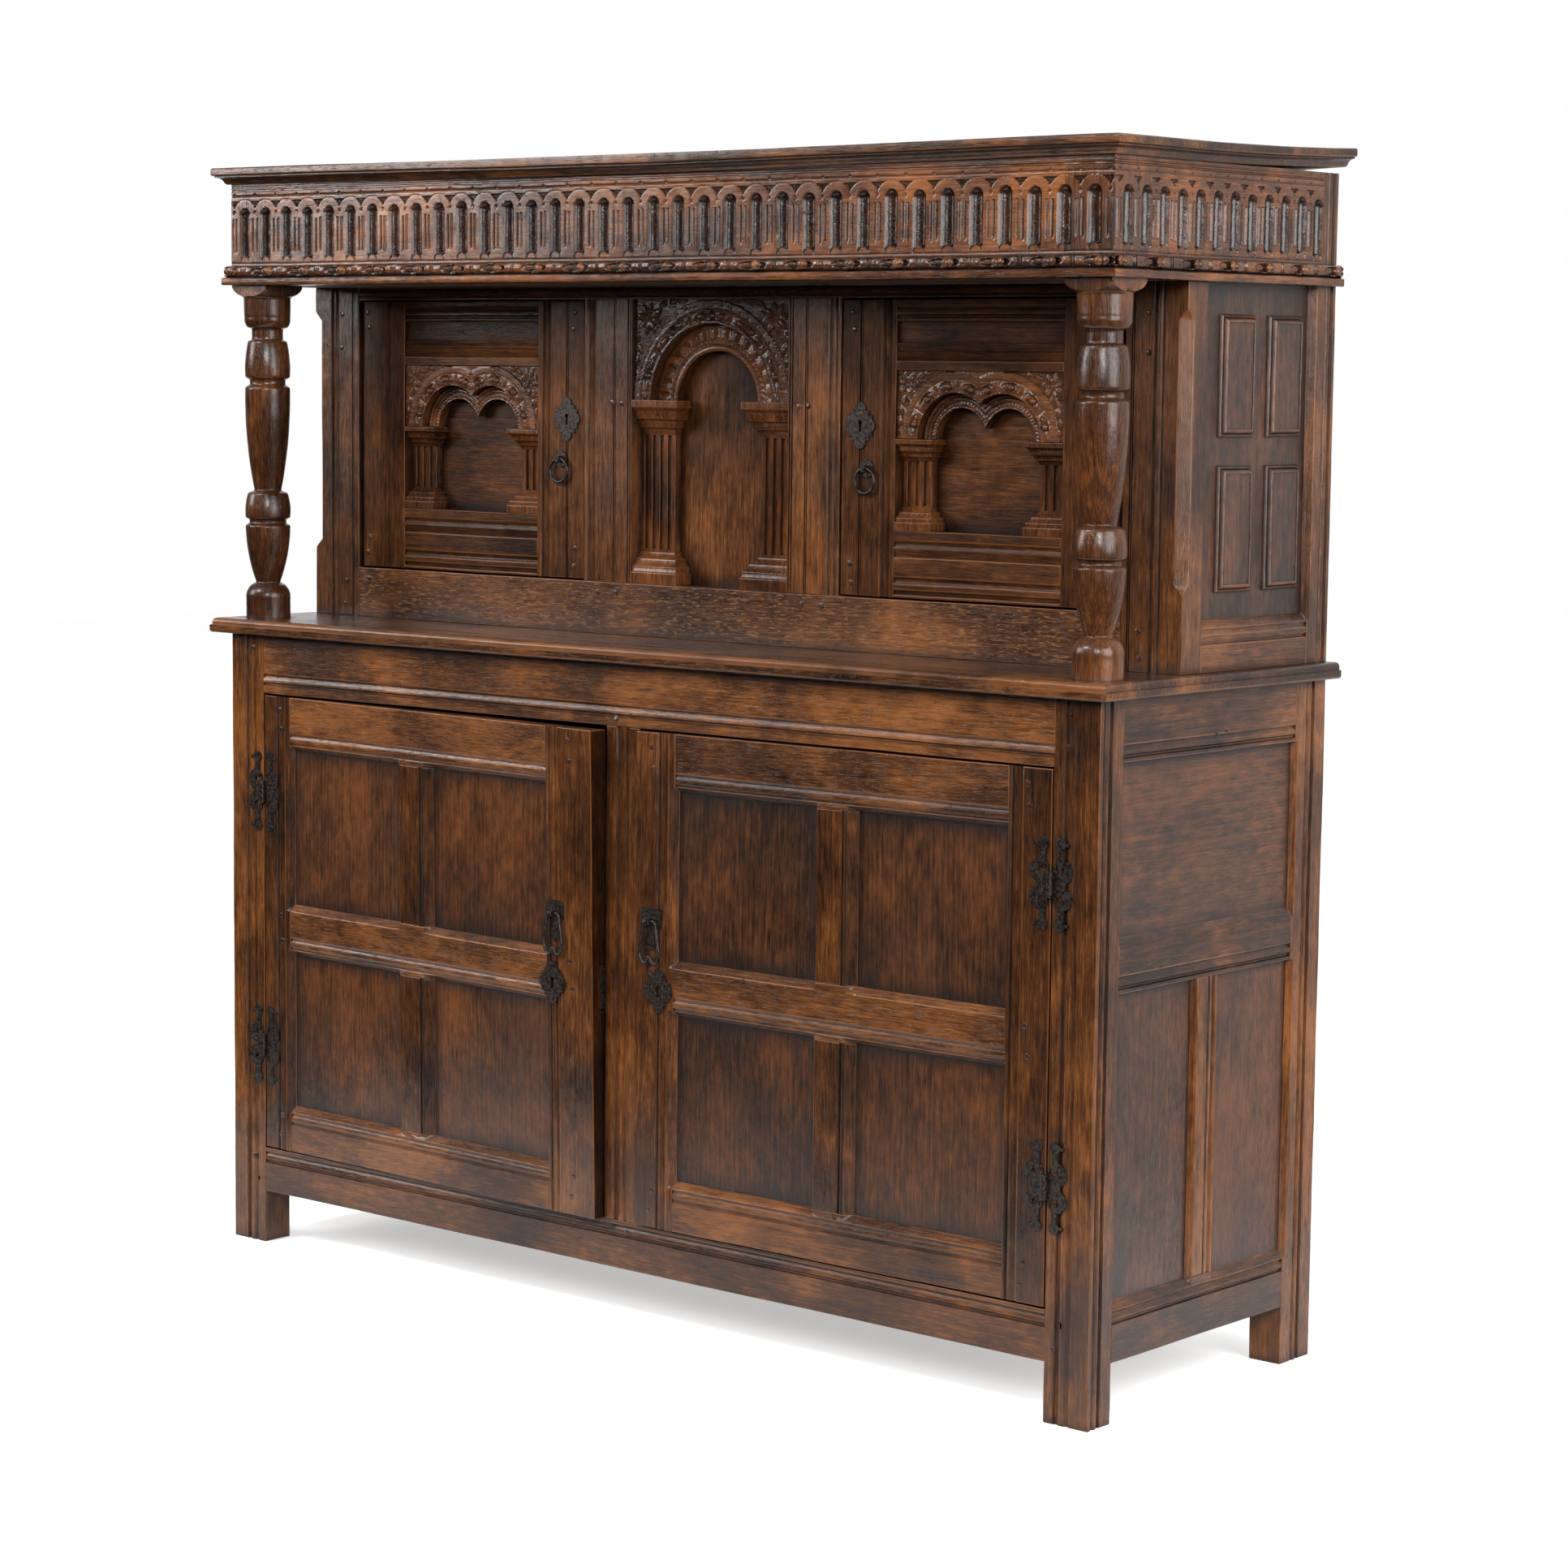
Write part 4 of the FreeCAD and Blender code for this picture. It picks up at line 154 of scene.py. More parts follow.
def oak(name, deep, warm, pale, gloss=0.27, figure=0.5, dusk=0.5, fleck=0.0, reach=0.018, clean=0.96,
        polish=0.45):
    """Waxed oak: fibres and growth rings run along the board, dirt and painted shade lie in the hollows,
    edges are rubbed.

    deep, warm and pale are its three tones; figure is how strongly the rings show; dusk is how much of the
    surface the old dark wax covers; fleck is how strongly the silky rays show; reach is how far dirt and
    painted shade spread from a corner, in metres, and clean how open to the air a place must
    be to have neither; polish is how strongly the wax shines.
    """
    material = bpy.data.materials.new(name)
    material.use_nodes = True
    tree = material.node_tree
    shader = tree.nodes["Principled BSDF"]

    def add(kind, inputs=None, **settings):
        return shader_node(tree, kind, inputs, **settings)

    def sums(operation, a, b, clamp=False):
        return add("Math", {0: a, 1: b}, operation=operation, use_clamp=clamp).outputs[0]

    def blend(kind, factor, a, b):
        return add("Mix", {0: factor, 6: a, 7: b}, data_type="RGBA", blend_type=kind).outputs[2]

    def band(value, low, high):
        return add("MapRange", {0: value, 1: low, 2: high}, interpolation_type="SMOOTHSTEP").outputs[0]

    along = add("Attribute", attribute_name="grain").outputs["Vector"]
    tone = add("Attribute", attribute_name="tone").outputs["Fac"]
    edges = add("Attribute", attribute_name="wear_and_sheen").outputs["Fac"]
    sunk = add("Attribute", attribute_name="sunk").outputs["Fac"]
    edge_shade_and_dirt = add("Attribute", attribute_name="edge_shade_and_dirt").outputs["Fac"]
    place = add("TexCoord").outputs["Object"]
    slow = add("Mapping", {0: along, 3: (1, 1, 0.07)}).outputs[0]
    fine = add("Mapping", {0: along, 3: (1, 1, 0.05)}).outputs[0]
    rings = add("TexWave", {0: slow, 1: 38, 2: 5.0, 3: 3, 4: 0.35, 5: 0.6}, wave_type="RINGS",
                rings_direction="Z", wave_profile="SAW").outputs["Fac"]
    fibres = add("TexNoise", {0: fine, 2: 640, 3: 3, 4: 0.6}).outputs[0]
    veins = add("TexNoise", {0: slow, 2: 260, 3: 3, 4: 0.5}).outputs[0]
    pores = add("TexNoise", {0: fine, 2: 1300, 3: 2, 4: 0.5}).outputs[0]
    broad = add("Mapping", {0: along, 3: (1, 1, 0.55)}).outputs[0]
    clouds = add("TexNoise", {0: broad, 2: 9, 3: 3, 4: 0.45, 8: 0.6}).outputs[0]
    smoke = add("TexNoise", {0: place, 2: 6.5, 3: 4, 4: 0.5}).outputs[0]

    def swing(source, reach):
        """A texture centred on nought, swinging that far each way."""
        return sums("MULTIPLY", sums("SUBTRACT", source, 0.5), reach)

    mottle = add("TexNoise", {0: broad, 2: 75, 3: 3, 4: 0.55}).outputs[0]
    value = swing(fibres, 0.95)
    for texture, reach_of_tone in ((rings, 0.24 * figure), (veins, 0.8 * figure), (mottle, 1.1 * figure),
                                   (clouds, 1.3), (tone, 0.34)):
        value = sums("ADD", value, swing(texture, reach_of_tone))
    ramp = add("ValToRGB", {0: sums("ADD", value, 0.5)})
    ramp.color_ramp.elements.new(0.5)
    for stop, shade, position in zip(ramp.color_ramp.elements, (deep, warm, pale), (0.12, 0.5, 0.95)):
        stop.color, stop.position = (*shade, 1), position
    colour = ramp.outputs[0]
    if fleck:
        short = add("Mapping", {0: along, 3: (1, 1, 0.22)}).outputs[0]
        rays = add("TexNoise", {0: short, 2: 330, 3: 2, 4: 0.5}).outputs[0]
        colour = blend("MIX", sums("MULTIPLY", band(rays, 0.56, 0.64), fleck), colour, (0.3, 0.13, 0.045, 1))
    # Dark lines along the grain, old dark wax in clouds, dark pores, and dirt with painted shade wherever no
    # cloth reaches: ambient occlusion darkens corners, recesses and the gaps between parts
    drawn_out = add("Mapping", {0: along, 1: (3, 7, 1), 3: (1, 1, 0.03)}).outputs[0]
    threads = add("TexNoise", {0: drawn_out, 2: 420, 3: 2, 4: 0.5}).outputs[0]
    for mask, share, shade in ((band(threads, 0.63, 0.7), 0.5, (0.34, 0.27, 0.25, 1)),
                               (band(smoke, 0.47, 0.66), dusk, (0.42, 0.4, 0.4, 1)),
                               (band(pores, 0.44, 0.3), 0.55, (0.3, 0.26, 0.24, 1))):
        colour = blend("MULTIPLY", sums("MULTIPLY", mask, share), colour, shade)
    # Painted shade and dirt: the colour is darkened by ambient occlusion where nearby parts close in
    hollow = add("AmbientOcclusion", {1: reach}, samples=6)
    open_air = band(hollow.outputs["AO"], clean - 0.51, clean)
    darkening = add("Math", {0: 1.0, 1: open_air}, operation="SUBTRACT").outputs[0]
    colour = blend("MULTIPLY", sums("MULTIPLY", darkening, 0.9), colour, (0.13, 0.11, 0.11, 1))
    # Black as painted shade and dirt along the rims of boards, in hollows stained with old wax, and on faces
    # painted black for shade
    rim = sums("MULTIPLY", sums("POWER", edge_shade_and_dirt, 1.1), sums("ADD", smoke, 0.55), True)
    black = sums("MAXIMUM", sums("MULTIPLY", sunk, 0.94), rim)
    colour = blend("MULTIPLY", black, colour, (0.22, 0.2, 0.21, 1))
    # Edges rubbed paler by wear; on the upper stiles' slopes the same paleness is a painted sheen
    wear_and_sheen_mix = sums("MULTIPLY", edges, band(smoke, 0.3, 0.6))
    colour = blend("MIX", sums("MULTIPLY", wear_and_sheen_mix, 0.5), colour, (*pale, 1))
    tree.links.new(colour, shader.inputs["Base Color"])
    uneven = sums("ADD", fibres, smoke)
    matt = add("MapRange", {0: uneven, 1: 0.7, 2: 1.35, 3: gloss - 0.06, 4: gloss + 0.1}).outputs[0]
    rough = sums("ADD", matt, sums("SUBTRACT", sums("MULTIPLY", darkening, 0.18), sums("MULTIPLY", sunk, 0.1)))
    tree.links.new(rough, shader.inputs["Roughness"])
    shader.inputs["Specular IOR Level"].default_value = polish
    dents = add("TexNoise", {0: place, 2: 26, 3: 3, 4: 0.5}).outputs[0]
    surface = sums("ADD", sums("MULTIPLY", fibres, 0.35), sums("MULTIPLY", band(pores, 0.3, 0.44), 0.35))
    surface = sums("ADD", surface, sums("MULTIPLY", dents, 2.2))
    bump = add("Bump", {"Strength": 0.6, "Distance": 0.0006, "Height": surface})
    tree.links.new(bump.outputs[0], shader.inputs["Normal"])
    return material


# The same unevenness on every run
noise.seed_set(7)


def wobbled(point):
    """Hand work is never quite straight: a slow wander of half a millimetre, the same for all pieces."""
    slow = noise.noise_vector(point * 7.0) * 0.0006
    quick = noise.noise_vector(point * 45.0) * 0.00022
    return point + slow + quick


def grain_axes(kind, size):
    """Which way a board's grain runs: its longest way unless it is named."""
    axis = kind or "XYZ"[max(range(3), key=lambda i: size[i])]
    return {"X": (1, 2, 0), "Y": (0, 2, 1), "Z": (0, 1, 2)}[axis]


def lay_grain(work, chance, kind=None, shades=(0.0, 1.0)):
    """Gives each board of a mesh its own piece of the tree: a place beside the pith, a tilt and a tone."""
    grain = work.verts.layers.float_vector.new("grain")
    tone = work.verts.layers.float.new("tone")
    seen = set()
    for start in work.verts:
        if start in seen:
            continue
        seen.add(start)
        board, stack = [], [start]
        while stack:
            vert = stack.pop()
            board.append(vert)
            for near in vert.link_edges:
                other = near.other_vert(vert)
                if other not in seen:
                    seen.add(other)
                    stack.append(other)
        low = Vector([min(v.co[i] for v in board) for i in range(3)])
        high = Vector([max(v.co[i] for v in board) for i in range(3)])
        middle = (low + high) / 2
        a, b, c = grain_axes(kind, high - low)
        pith = Vector((chance.uniform(0.05, 0.2) * chance.choice((-1, 1)), chance.uniform(0.02, 0.1),
                       chance.uniform(0, 9)))
        lean = Vector((chance.uniform(-0.02, 0.02), chance.uniform(-0.02, 0.02), 0))
        shade = chance.uniform(*shades)
        for vert in board:
            spot = vert.co - middle
            vert[grain] = Vector((spot[a], spot[b], spot[c])) + pith + lean * spot[c]
            vert[tone] = shade


def finished(name, work, material, body, replaced=(), flat=True, crease=50):
    """A piece in the scene: smooth where it is round, flat where it is flat, and moving with its body."""
    mesh = bpy.data.meshes.new(name)
    work.to_mesh(mesh)
    work.free()
    for polygon in mesh.polygons:
        polygon.use_smooth = True
    mesh.set_sharp_from_angle(angle=math.radians(crease))
    mesh.materials.append(material)
    piece = bpy.data.objects.new(name, mesh)
    bpy.context.scene.collection.objects.link(piece)
    if flat:
        even = piece.modifiers.new("even", "WEIGHTED_NORMAL")
        even.keep_sharp = True
    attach(piece, body)
    if replaced:
        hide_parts(*replaced)


def solid_by_solid(mesh):
    """The solids of a CAD piece, closed one after another, so that boards that touch stay apart."""
    work = bmesh.new()
    known, unmatched = {}, set()
    for polygon in mesh.polygons:
        keys = [tuple(round(c * 1e6) for c in mesh.vertices[i].co) for i in polygon.vertices]
        for key, i in zip(keys, polygon.vertices):
            if key not in known:
                known[key] = work.verts.new(mesh.vertices[i].co)
        if len(set(keys)) == len(keys):
            work.faces.new([known[key] for key in keys])
        for pair in zip(keys, keys[1:] + keys[:1]):
            if pair[0] != pair[1]:
                unmatched ^= {frozenset(pair)}
        if not unmatched:
            known = {}
    work.normal_update()
    if unmatched:
        bmesh.ops.remove_doubles(work, verts=work.verts, dist=0.00001)
    return work


def worn(node, material, grain=None, round_off=0.0013, reshape=None, shades=(0.0, 1.0), shade_sheen_and_wear=None,
         bend=None, rim=0.0):
    """A joined piece with the rounded, slightly wandering edges that use and wax give it.

    shade_sheen_and_wear(place, facing) is 1 on faces painted black as painted shade, a little above nought
    on faces painted darker, and below nought on faces painted pale: worn on the nosing, a painted sheen on
    the upper stiles' slopes; bend(place) moves each point of a warped piece; rim is how far painted shade
    and dirt fade out inwards from the edge of a board, in metres.
    """
    source = frame["nodes"][node]
    work = solid_by_solid(source.data)
    if reshape:
        reshape(work)
    bmesh.ops.dissolve_limit(work, angle_limit=0.008, verts=work.verts, edges=work.edges)
    for layer in ("wear_and_sheen", "sunk"):
        work.faces.layers.float.new(layer)
    wear_and_sheen, black_layer = (work.faces.layers.float[layer] for layer in ("wear_and_sheen", "sunk"))
    # A band of painted shade and dirt, fading inwards from the edges of each broad face
    if rim:
        edge_shade_and_dirt = work.verts.layers.float.new("edge_shade_and_dirt")
        for vert in work.verts:
            vert[edge_shade_and_dirt] = 1.0
        broad = [face for face in work.faces if face.calc_area() > 0.015]
        bmesh.ops.inset_individual(work, faces=broad, thickness=rim)
        for face in broad:
            for vert in face.verts:
                vert[edge_shade_and_dirt] = 0.0
    for edge in work.edges:
        edge.smooth = True
        if len(edge.link_faces) != 2 or not edge.is_convex:
            continue
        long = edge.calc_length()
        roomy = all(face.calc_area() > long * round_off * 2.6 for face in edge.link_faces)
        edge.smooth = not (long > 0.012 and roomy and edge.calc_face_angle() > 0.6)
    groups = {}
    for edge in work.edges:
        cuts = int(edge.calc_length() / 0.022)
        if cuts:
            groups.setdefault(cuts, []).append(edge)
    for cuts, edges in groups.items():
        bmesh.ops.bisect_edges(work, edges=edges, cuts=cuts)
    sharp = [edge for edge in work.edges if not edge.smooth]
    made = bmesh.ops.bevel(work, geom=sharp, offset=round_off, offset_type="OFFSET", segments=2,
                           profile=0.5, affect="EDGES", clamp_overlap=False)
    for face in made["faces"]:
        face[wear_and_sheen] = 1.0
    # Faces the callback marks: painted black for shade, painted darker, painted paler for wear and sheen
    if shade_sheen_and_wear:
        for face in work.faces:
            tint = shade_sheen_and_wear(face.calc_center_median(), face.normal)
            face[black_layer], face[wear_and_sheen] = max(0.0, tint), max(face[wear_and_sheen], -tint)
    lay_grain(work, random.Random(node), grain, shades)
    for vert in work.verts:
        vert.co = wobbled(vert.co if bend is None else bend(vert.co))
    finished(node + "_worn", work, material, source["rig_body"], (node,))


frame_oak = oak("waxed_frame_oak", (0.0145, 0.0052, 0.0023), (0.073, 0.0242, 0.0068), (0.245, 0.085, 0.0215),
                gloss=0.25, polish=0.38)
for node in ("base_front_rails", "base_front_stiles", "base_muntins", "base_rear_stiles", "base_side_rails"):
    worn(node, frame_oak)

# Panels of the base sides.
# Thin riven boards, chamfered at the edges and held loose in the grooves of the frame.
panel_oak = oak("waxed_panel_oak", (0.022, 0.0088, 0.004), (0.072, 0.0255, 0.009), (0.165, 0.053, 0.0155),
                figure=0.85, reach=0.045, clean=1.12)


def low_down(place, facing_way):
    """The lower panels of the ends, painted darker."""
    return 0.3 * (place.z < 0.49)


# The lower boards are painted darker, and a band of painted shade and dirt runs round each board
worn("base_side_panels", panel_oak, shade_sheen_and_wear=low_down, rim=0.034)

# Boards inside the base and at the back.
# Unwaxed oak, grey-brown and dry, nailed to bearers and rails.
dry_oak = oak("dry_inside_oak", (0.06, 0.041, 0.027), (0.14, 0.092, 0.057), (0.22, 0.155, 0.1), gloss=0.62)
for node in ("base_floor_boards", "base_shelf_boards", "bearers", "back_rails", "back_boards",
             "soffit_boards"):
    worn(node, dry_oak, round_off=0.0008)

# Lower doors.
# Each has two stiles, three rails and two muntins around four panels. The left one has sunk a little at its
# free edge and is twisted, its top corner outwards, so that a black wedge shows above it.
door_hinge_x, door_wide, door_low_z, door_tall = 0.7388, 0.704, 0.1505, 0.693
left_door_drop, left_door_twist = 0.0032, 0.007


def sprung(point):
    """The left door's sag and twist, which grow with the distance from its hinges."""
    out = max(0.0, min(1.0, (point.x + door_hinge_x) / door_wide))
    high = 2 * (point.z - door_low_z) / door_tall - 1
    return point + Vector((0, -left_door_twist * out * high, -left_door_drop * out))


def meeting_edge(place, facing_way):
    """The doors' free edges, painted black as the shade in the gap beside them."""
    return float(abs(place.x) < 0.045 and abs(facing_way.x) > 0.8)


for side, shades, bend in (("left", (0.5, 1.0), sprung), ("right", (0.05, 0.6), None)):
    # The doors' free edges are painted black, as painted shade of the gap between them
    worn(f"lower_{side}_door_uprights", frame_oak, shades=(0.0, 0.55), shade_sheen_and_wear=meeting_edge, bend=bend)
    worn(f"lower_{side}_door_rails", frame_oak, shades=shades, bend=bend)
    # A band of painted shade and dirt runs round each panel
    worn(f"lower_{side}_door_panels", panel_oak, grain="Z", shades=shades, bend=bend, rim=0.044)

# Hinges, handles and locks.
# Hand-forged iron, blackened and waxed over with the wood.
iron = bpy.data.materials.new("blackened_iron")
iron.use_nodes = True
iron_tree = iron.node_tree
iron_shader = iron_tree.nodes["Principled BSDF"]
iron_place = shader_node(iron_tree, "TexCoord").outputs["Object"]
scale_marks = shader_node(iron_tree, "TexNoise", {0: iron_place, 2: 260, 3: 3, 4: 0.5}).outputs[0]
iron_tone = shader_node(iron_tree, "ValToRGB", {0: scale_marks})
for stop, colour, position in zip(iron_tone.color_ramp.elements, ((0.012, 0.009, 0.0075, 1),
                                                                  (0.062, 0.046, 0.038, 1)), (0.35, 0.75)):
    stop.color, stop.position = colour, position
iron_tree.links.new(iron_tone.outputs[0], iron_shader.inputs["Base Color"])
iron_shader.inputs["Metallic"].default_value = 0.6
iron_rough = shader_node(iron_tree, "MapRange", {0: scale_marks, 1: 0.3, 2: 0.7, 3: 0.26, 4: 0.46})
iron_tree.links.new(iron_rough.outputs[0], iron_shader.inputs["Roughness"])
iron_bump = shader_node(iron_tree, "Bump", {"Strength": 0.5, "Distance": 0.0005, "Height": scale_marks})
iron_tree.links.new(iron_bump.outputs[0], iron_shader.inputs["Normal"])
iron_words = ("hinge_leaves", "plates", "lock_case", "bolt", "drop", "ring", "pivot_pins")
for name, piece in frame["nodes"].items():
    if any(word in name for word in iron_words):
        piece.data.materials.clear()
        piece.data.materials.append(iron)

# Counter between the two cupboards.
# Three boards side by side, moulded along the front and the ends and rubbed by dishes and hands.
counter_oak = oak("rubbed_counter_oak", (0.011, 0.0046, 0.0024), (0.042, 0.0155, 0.0056), (0.2, 0.07, 0.019),
                  gloss=0.2, polish=0.3)


def rubbed_nosing(place, facing_way):
    """The front of the nosing, rubbed bright along its upper half."""
    return -1.3 * (facing_way.y < -0.3 and facing_way.z > -0.2 and place.z > 0.945)


worn("counter_boards", counter_oak, grain="X", shade_sheen_and_wear=rubbed_nosing)

# Frame of the upper cupboard.
# Waxed oak, pegged like the base. Its front rails are cut through the rays of the tree, which show as
# flecks.
upper_tones = ((0.017, 0.0063, 0.0028), (0.074, 0.0255, 0.0078), (0.21, 0.075, 0.021))
upper_oak = oak("waxed_upper_oak", *upper_tones, gloss=0.26, polish=0.36)
rayed_oak = oak("rayed_upper_oak", *upper_tones, gloss=0.26, fleck=0.42, polish=0.36)
worn("upper_front_rails", rayed_oak)
for node in ("upper_muntins", "upper_rear_stiles", "upper_side_rails"):
    worn(node, upper_oak)


def painted_sheen_slope(place, facing_way):
    """The stopped slopes on the outer corners, painted paler as a painted sheen."""
    return -0.35 * (abs(facing_way.x) > 0.5 and facing_way.y < -0.5 and abs(place.x) > 0.79)


# The slopes of these stiles are painted paler as a painted sheen
worn("upper_front_stiles", upper_oak, shade_sheen_and_wear=painted_sheen_slope)

# Panels of the upper ends.
# One board each with four raised fields, whose bevels carry a scraped moulding, mitred at the corners.
worn("upper_side_panels", panel_oak, grain="Z")
side_panel = frame["nodes"]["upper_side_panels"].data
field_top = max(vert.co.x for vert in side_panel.vertices)
field_rise, field_bevel = 0.008, 0.007
# A bead and a quarter-round, in millimetres: distance in from the foot of the bevel and height above it
field_moulding = ((-2.6, -1.2), (-2.6, 1.5), (-1.4, 3.3), (0.2, 4.3), (1.5, 3.8), (1.9, 2.7), (2.3, 5.4),
                  (3.3, 7.6), (5.0, 9.0), (6.8, 9.5), (7.6, 9.0), (8.2, 7.0))
field_corners, field_steps = ((0, 0), (1, 0), (1, 1), (0, 1)), 7
strips = bmesh.new()
fields = set()
for top in side_panel.polygons:
    if abs(top.normal.x) > 0.99 and abs(top.center.x) > field_top - 0.0001:
        corners = [side_panel.vertices[i].co for i in top.vertices]
        fields.add((math.copysign(1, top.center.x), *(round(end(corner[axis] for corner in corners), 5)
                                                      for axis in (1, 2) for end in (min, max))))
for side, y0, y1, z0, z1 in sorted(fields):
    y0, y1, z0, z1 = y0 - field_bevel, y1 + field_bevel, z0 - field_bevel, z1 + field_bevel
    for start, end in zip(field_corners, field_corners[1:] + field_corners[:1]):
        rows = []
        for inset, height in field_moulding:
            d, x = inset / 1000, side * (field_top - field_rise + height / 1000)
            ends = [Vector((x, (y0 + d, y1 - d)[a], (z0 + d, z1 - d)[b])) for a, b in (start, end)]
            rows.append([strips.verts.new(ends[0].lerp(ends[1], step / field_steps))
                         for step in range(field_steps + 1)])
        for row, above in zip(rows, rows[1:]):
            for i in range(field_steps):
                strips.faces.new((row[i], row[i + 1], above[i + 1], above[i]))
bmesh.ops.recalc_face_normals(strips, faces=strips.faces)
lay_grain(strips, random.Random("field mouldings"))
for vert in strips.verts:
    vert.co = wobbled(vert.co)
finished("upper_side_field_mouldings", strips, panel_oak, "carcass", flat=False, crease=34)

# Middle bay of the upper cupboard.
# A panel of two boards behind an applied arch of two orders, which stands on two fluted pilasters. The arch
# is carved with beads and leaves, a rope and a fan, and flowers fill the corners above it.
def carved(name, columns, rows, height, place, thick, material, body, replaced=(), keep=None, grain=None,
           sink=None, stained=3.2):
    """A carved slab: height(u, v) stands above its face, place(u, v, h) puts it in the room, in metres.

    keep(u, v) says where there is wood at all. The rim runs back by thick, and the back is closed. sink
    moves the points of the back, for a mitre. Hollows are stained, and black where they are that many
    millimetres deep.
    """
    u, v = np.meshgrid(np.asarray(columns, float), np.asarray(rows, float))
    wide, tall = len(columns), len(rows)
    relief = height(u, v)
    crest = np.minimum(relief, np.percentile(relief, 85))
    for axis, lines in ((0, rows), (1, columns)):
        reach = max(1, round(7 / np.median(np.diff(np.asarray(lines, float)))))
        padded = np.pad(crest, [(reach, reach) if i == axis else (0, 0) for i in range(2)], mode="edge")
        crest = np.max([np.take(padded, np.arange(len(lines)) + shift, axis=axis)
                        for shift in range(2 * reach + 1)], axis=0)
    depth = np.clip((crest - relief - 0.5) / stained, 0, 1).reshape(-1)
    spots = np.stack(place(u, v, relief), -1).reshape(-1, 3)
    behind = (np.stack(place(*(sink(u, v) if sink else (u, v)), np.full_like(u, -thick)), -1)).reshape(-1, 3)
    index = np.arange(wide * tall).reshape(tall, wide)
    quads = np.stack([index[:-1, :-1], index[:-1, 1:], index[1:, 1:], index[1:, :-1]], -1).reshape(-1, 4)
    if keep is not None:
        quads = quads[keep(u, v).reshape(-1)[quads].any(1)]
    used = np.unique(quads)
    fresh = np.full(wide * tall, -1)
    fresh[used] = np.arange(len(used))
    quads = fresh[quads]
    sides = np.concatenate([quads[:, [i, (i + 1) % 4]] for i in range(4)])
    ordered = np.sort(sides, 1)
    keys, first, counts = np.unique(ordered[:, 0] * len(used) + ordered[:, 1], return_index=True,
                                    return_counts=True)
    rim = sides[first[counts == 1]]
    rim_points = np.unique(rim)
    back = np.full(len(used), -1)
    back[rim_points] = len(used) + np.arange(len(rim_points))
    walls = np.stack([rim[:, 1], rim[:, 0], back[rim[:, 0]], back[rim[:, 1]]], -1)
    points = np.concatenate([spots[used], behind[used][rim_points]])
    rough = bpy.data.meshes.new(name)
    rough.from_pydata(points.tolist(), [], np.concatenate([quads, walls]).tolist())
    work = bmesh.new()
    work.from_mesh(rough)
    bpy.data.meshes.remove(rough)
    loop = [edge for edge in work.edges if len(edge.link_faces) == 1]
    bmesh.ops.triangle_fill(work, use_beauty=False, edges=loop)
    bmesh.ops.recalc_face_normals(work, faces=work.faces)
    outward = Vector((spots - behind).mean(0).tolist())
    if sum(face.normal.dot(outward) * face.calc_area() for face in work.faces if len(face.verts) == 4
           and max(vert.index for vert in face.verts) < len(used)) < 0:
        bmesh.ops.reverse_faces(work, faces=work.faces)
    sunk = work.verts.layers.float.new("sunk")
    for vert, hollow in zip(work.verts, depth[used].tolist()):
        vert[sunk] = hollow
    lay_grain(work, random.Random(name), grain, (0.55, 0.95))
    for vert in work.verts:
        vert.co = wobbled(vert.co)
    finished(name, work, material, body, replaced, flat=False, crease=34)


front_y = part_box("base_front_rails")[0].y


def bump(distance, reach):
    """A rounded swelling: one at the middle, nought from that distance on."""
    return np.clip(1 - (distance / reach) ** 2, 0, 1)


def gouged(u, v, seed):
    """The small facets a gouge leaves, up to one either way."""
    return (np.sin(u * 0.61 + v * 0.13 + seed) * np.sin(v * 0.37 - u * 0.09 + seed * 2.1)
            + 0.6 * np.sin(v * 0.83 + u * 0.21 + seed * 0.7))


def facing(side, face, middle=0):
    """Places a point u along, v up and h out of an upright face: side 0 is the front, -1 and 1 the ends."""
    def place(u, v, h):
        if side == 0:
            return (middle + u) / 1000, front_y + (face - h) / 1000, v / 1000
        return side * (face + h) / 1000, front_y + u / 1000, v / 1000
    return place


carved_oak = oak("waxed_carved_oak", (0.014, 0.0055, 0.0028), (0.06, 0.02, 0.0066), (0.19, 0.064, 0.018),
                 gloss=0.2, dusk=0.3, reach=0.007, clean=0.9, polish=0.36)
# Darker, less polished oak for the middle panel and the upper doors, partly their own tone and partly
# painted shade of the frieze's overhang
shaded_door_oak = oak("waxed_door_oak_painted_shade", (0.015, 0.0056, 0.0026), (0.066, 0.0225, 0.007), (0.19, 0.067, 0.019),
               gloss=0.3, polish=0.14, reach=0.03, clean=1.0)
worn("centre_panel", shaded_door_oak, grain="Z", round_off=0.0005, shades=(0.3, 0.5))
worn("centre_arcade", carved_oak, grain="Z", round_off=0.0008, shades=(0.25, 0.5))
arch_foot, arch_edge, fan_edge, fan_end = 1291.0, 113.4, 75.4, 113.0
arch_step, fan_step, carving_thick = 1.45, 1.3, 1.5


def leaf(u, v, x, z, long, wide, turn):
    """A pointed leaf with a sunk vein, its middle at x, z: long and wide are half its length and width."""
    c, n = math.cos(math.radians(turn)), math.sin(math.radians(turn))
    a, b = ((u - x) * c + (v - z) * n) / long, ((v - z) * c - (u - x) * n) / wide
    swell = np.sqrt(np.clip(1 - a ** 2 - b ** 2 * (1 + a ** 2), 0, 1))
    return swell * (1 - 0.45 * bump(b, 0.22) * (np.abs(a) < 0.75))


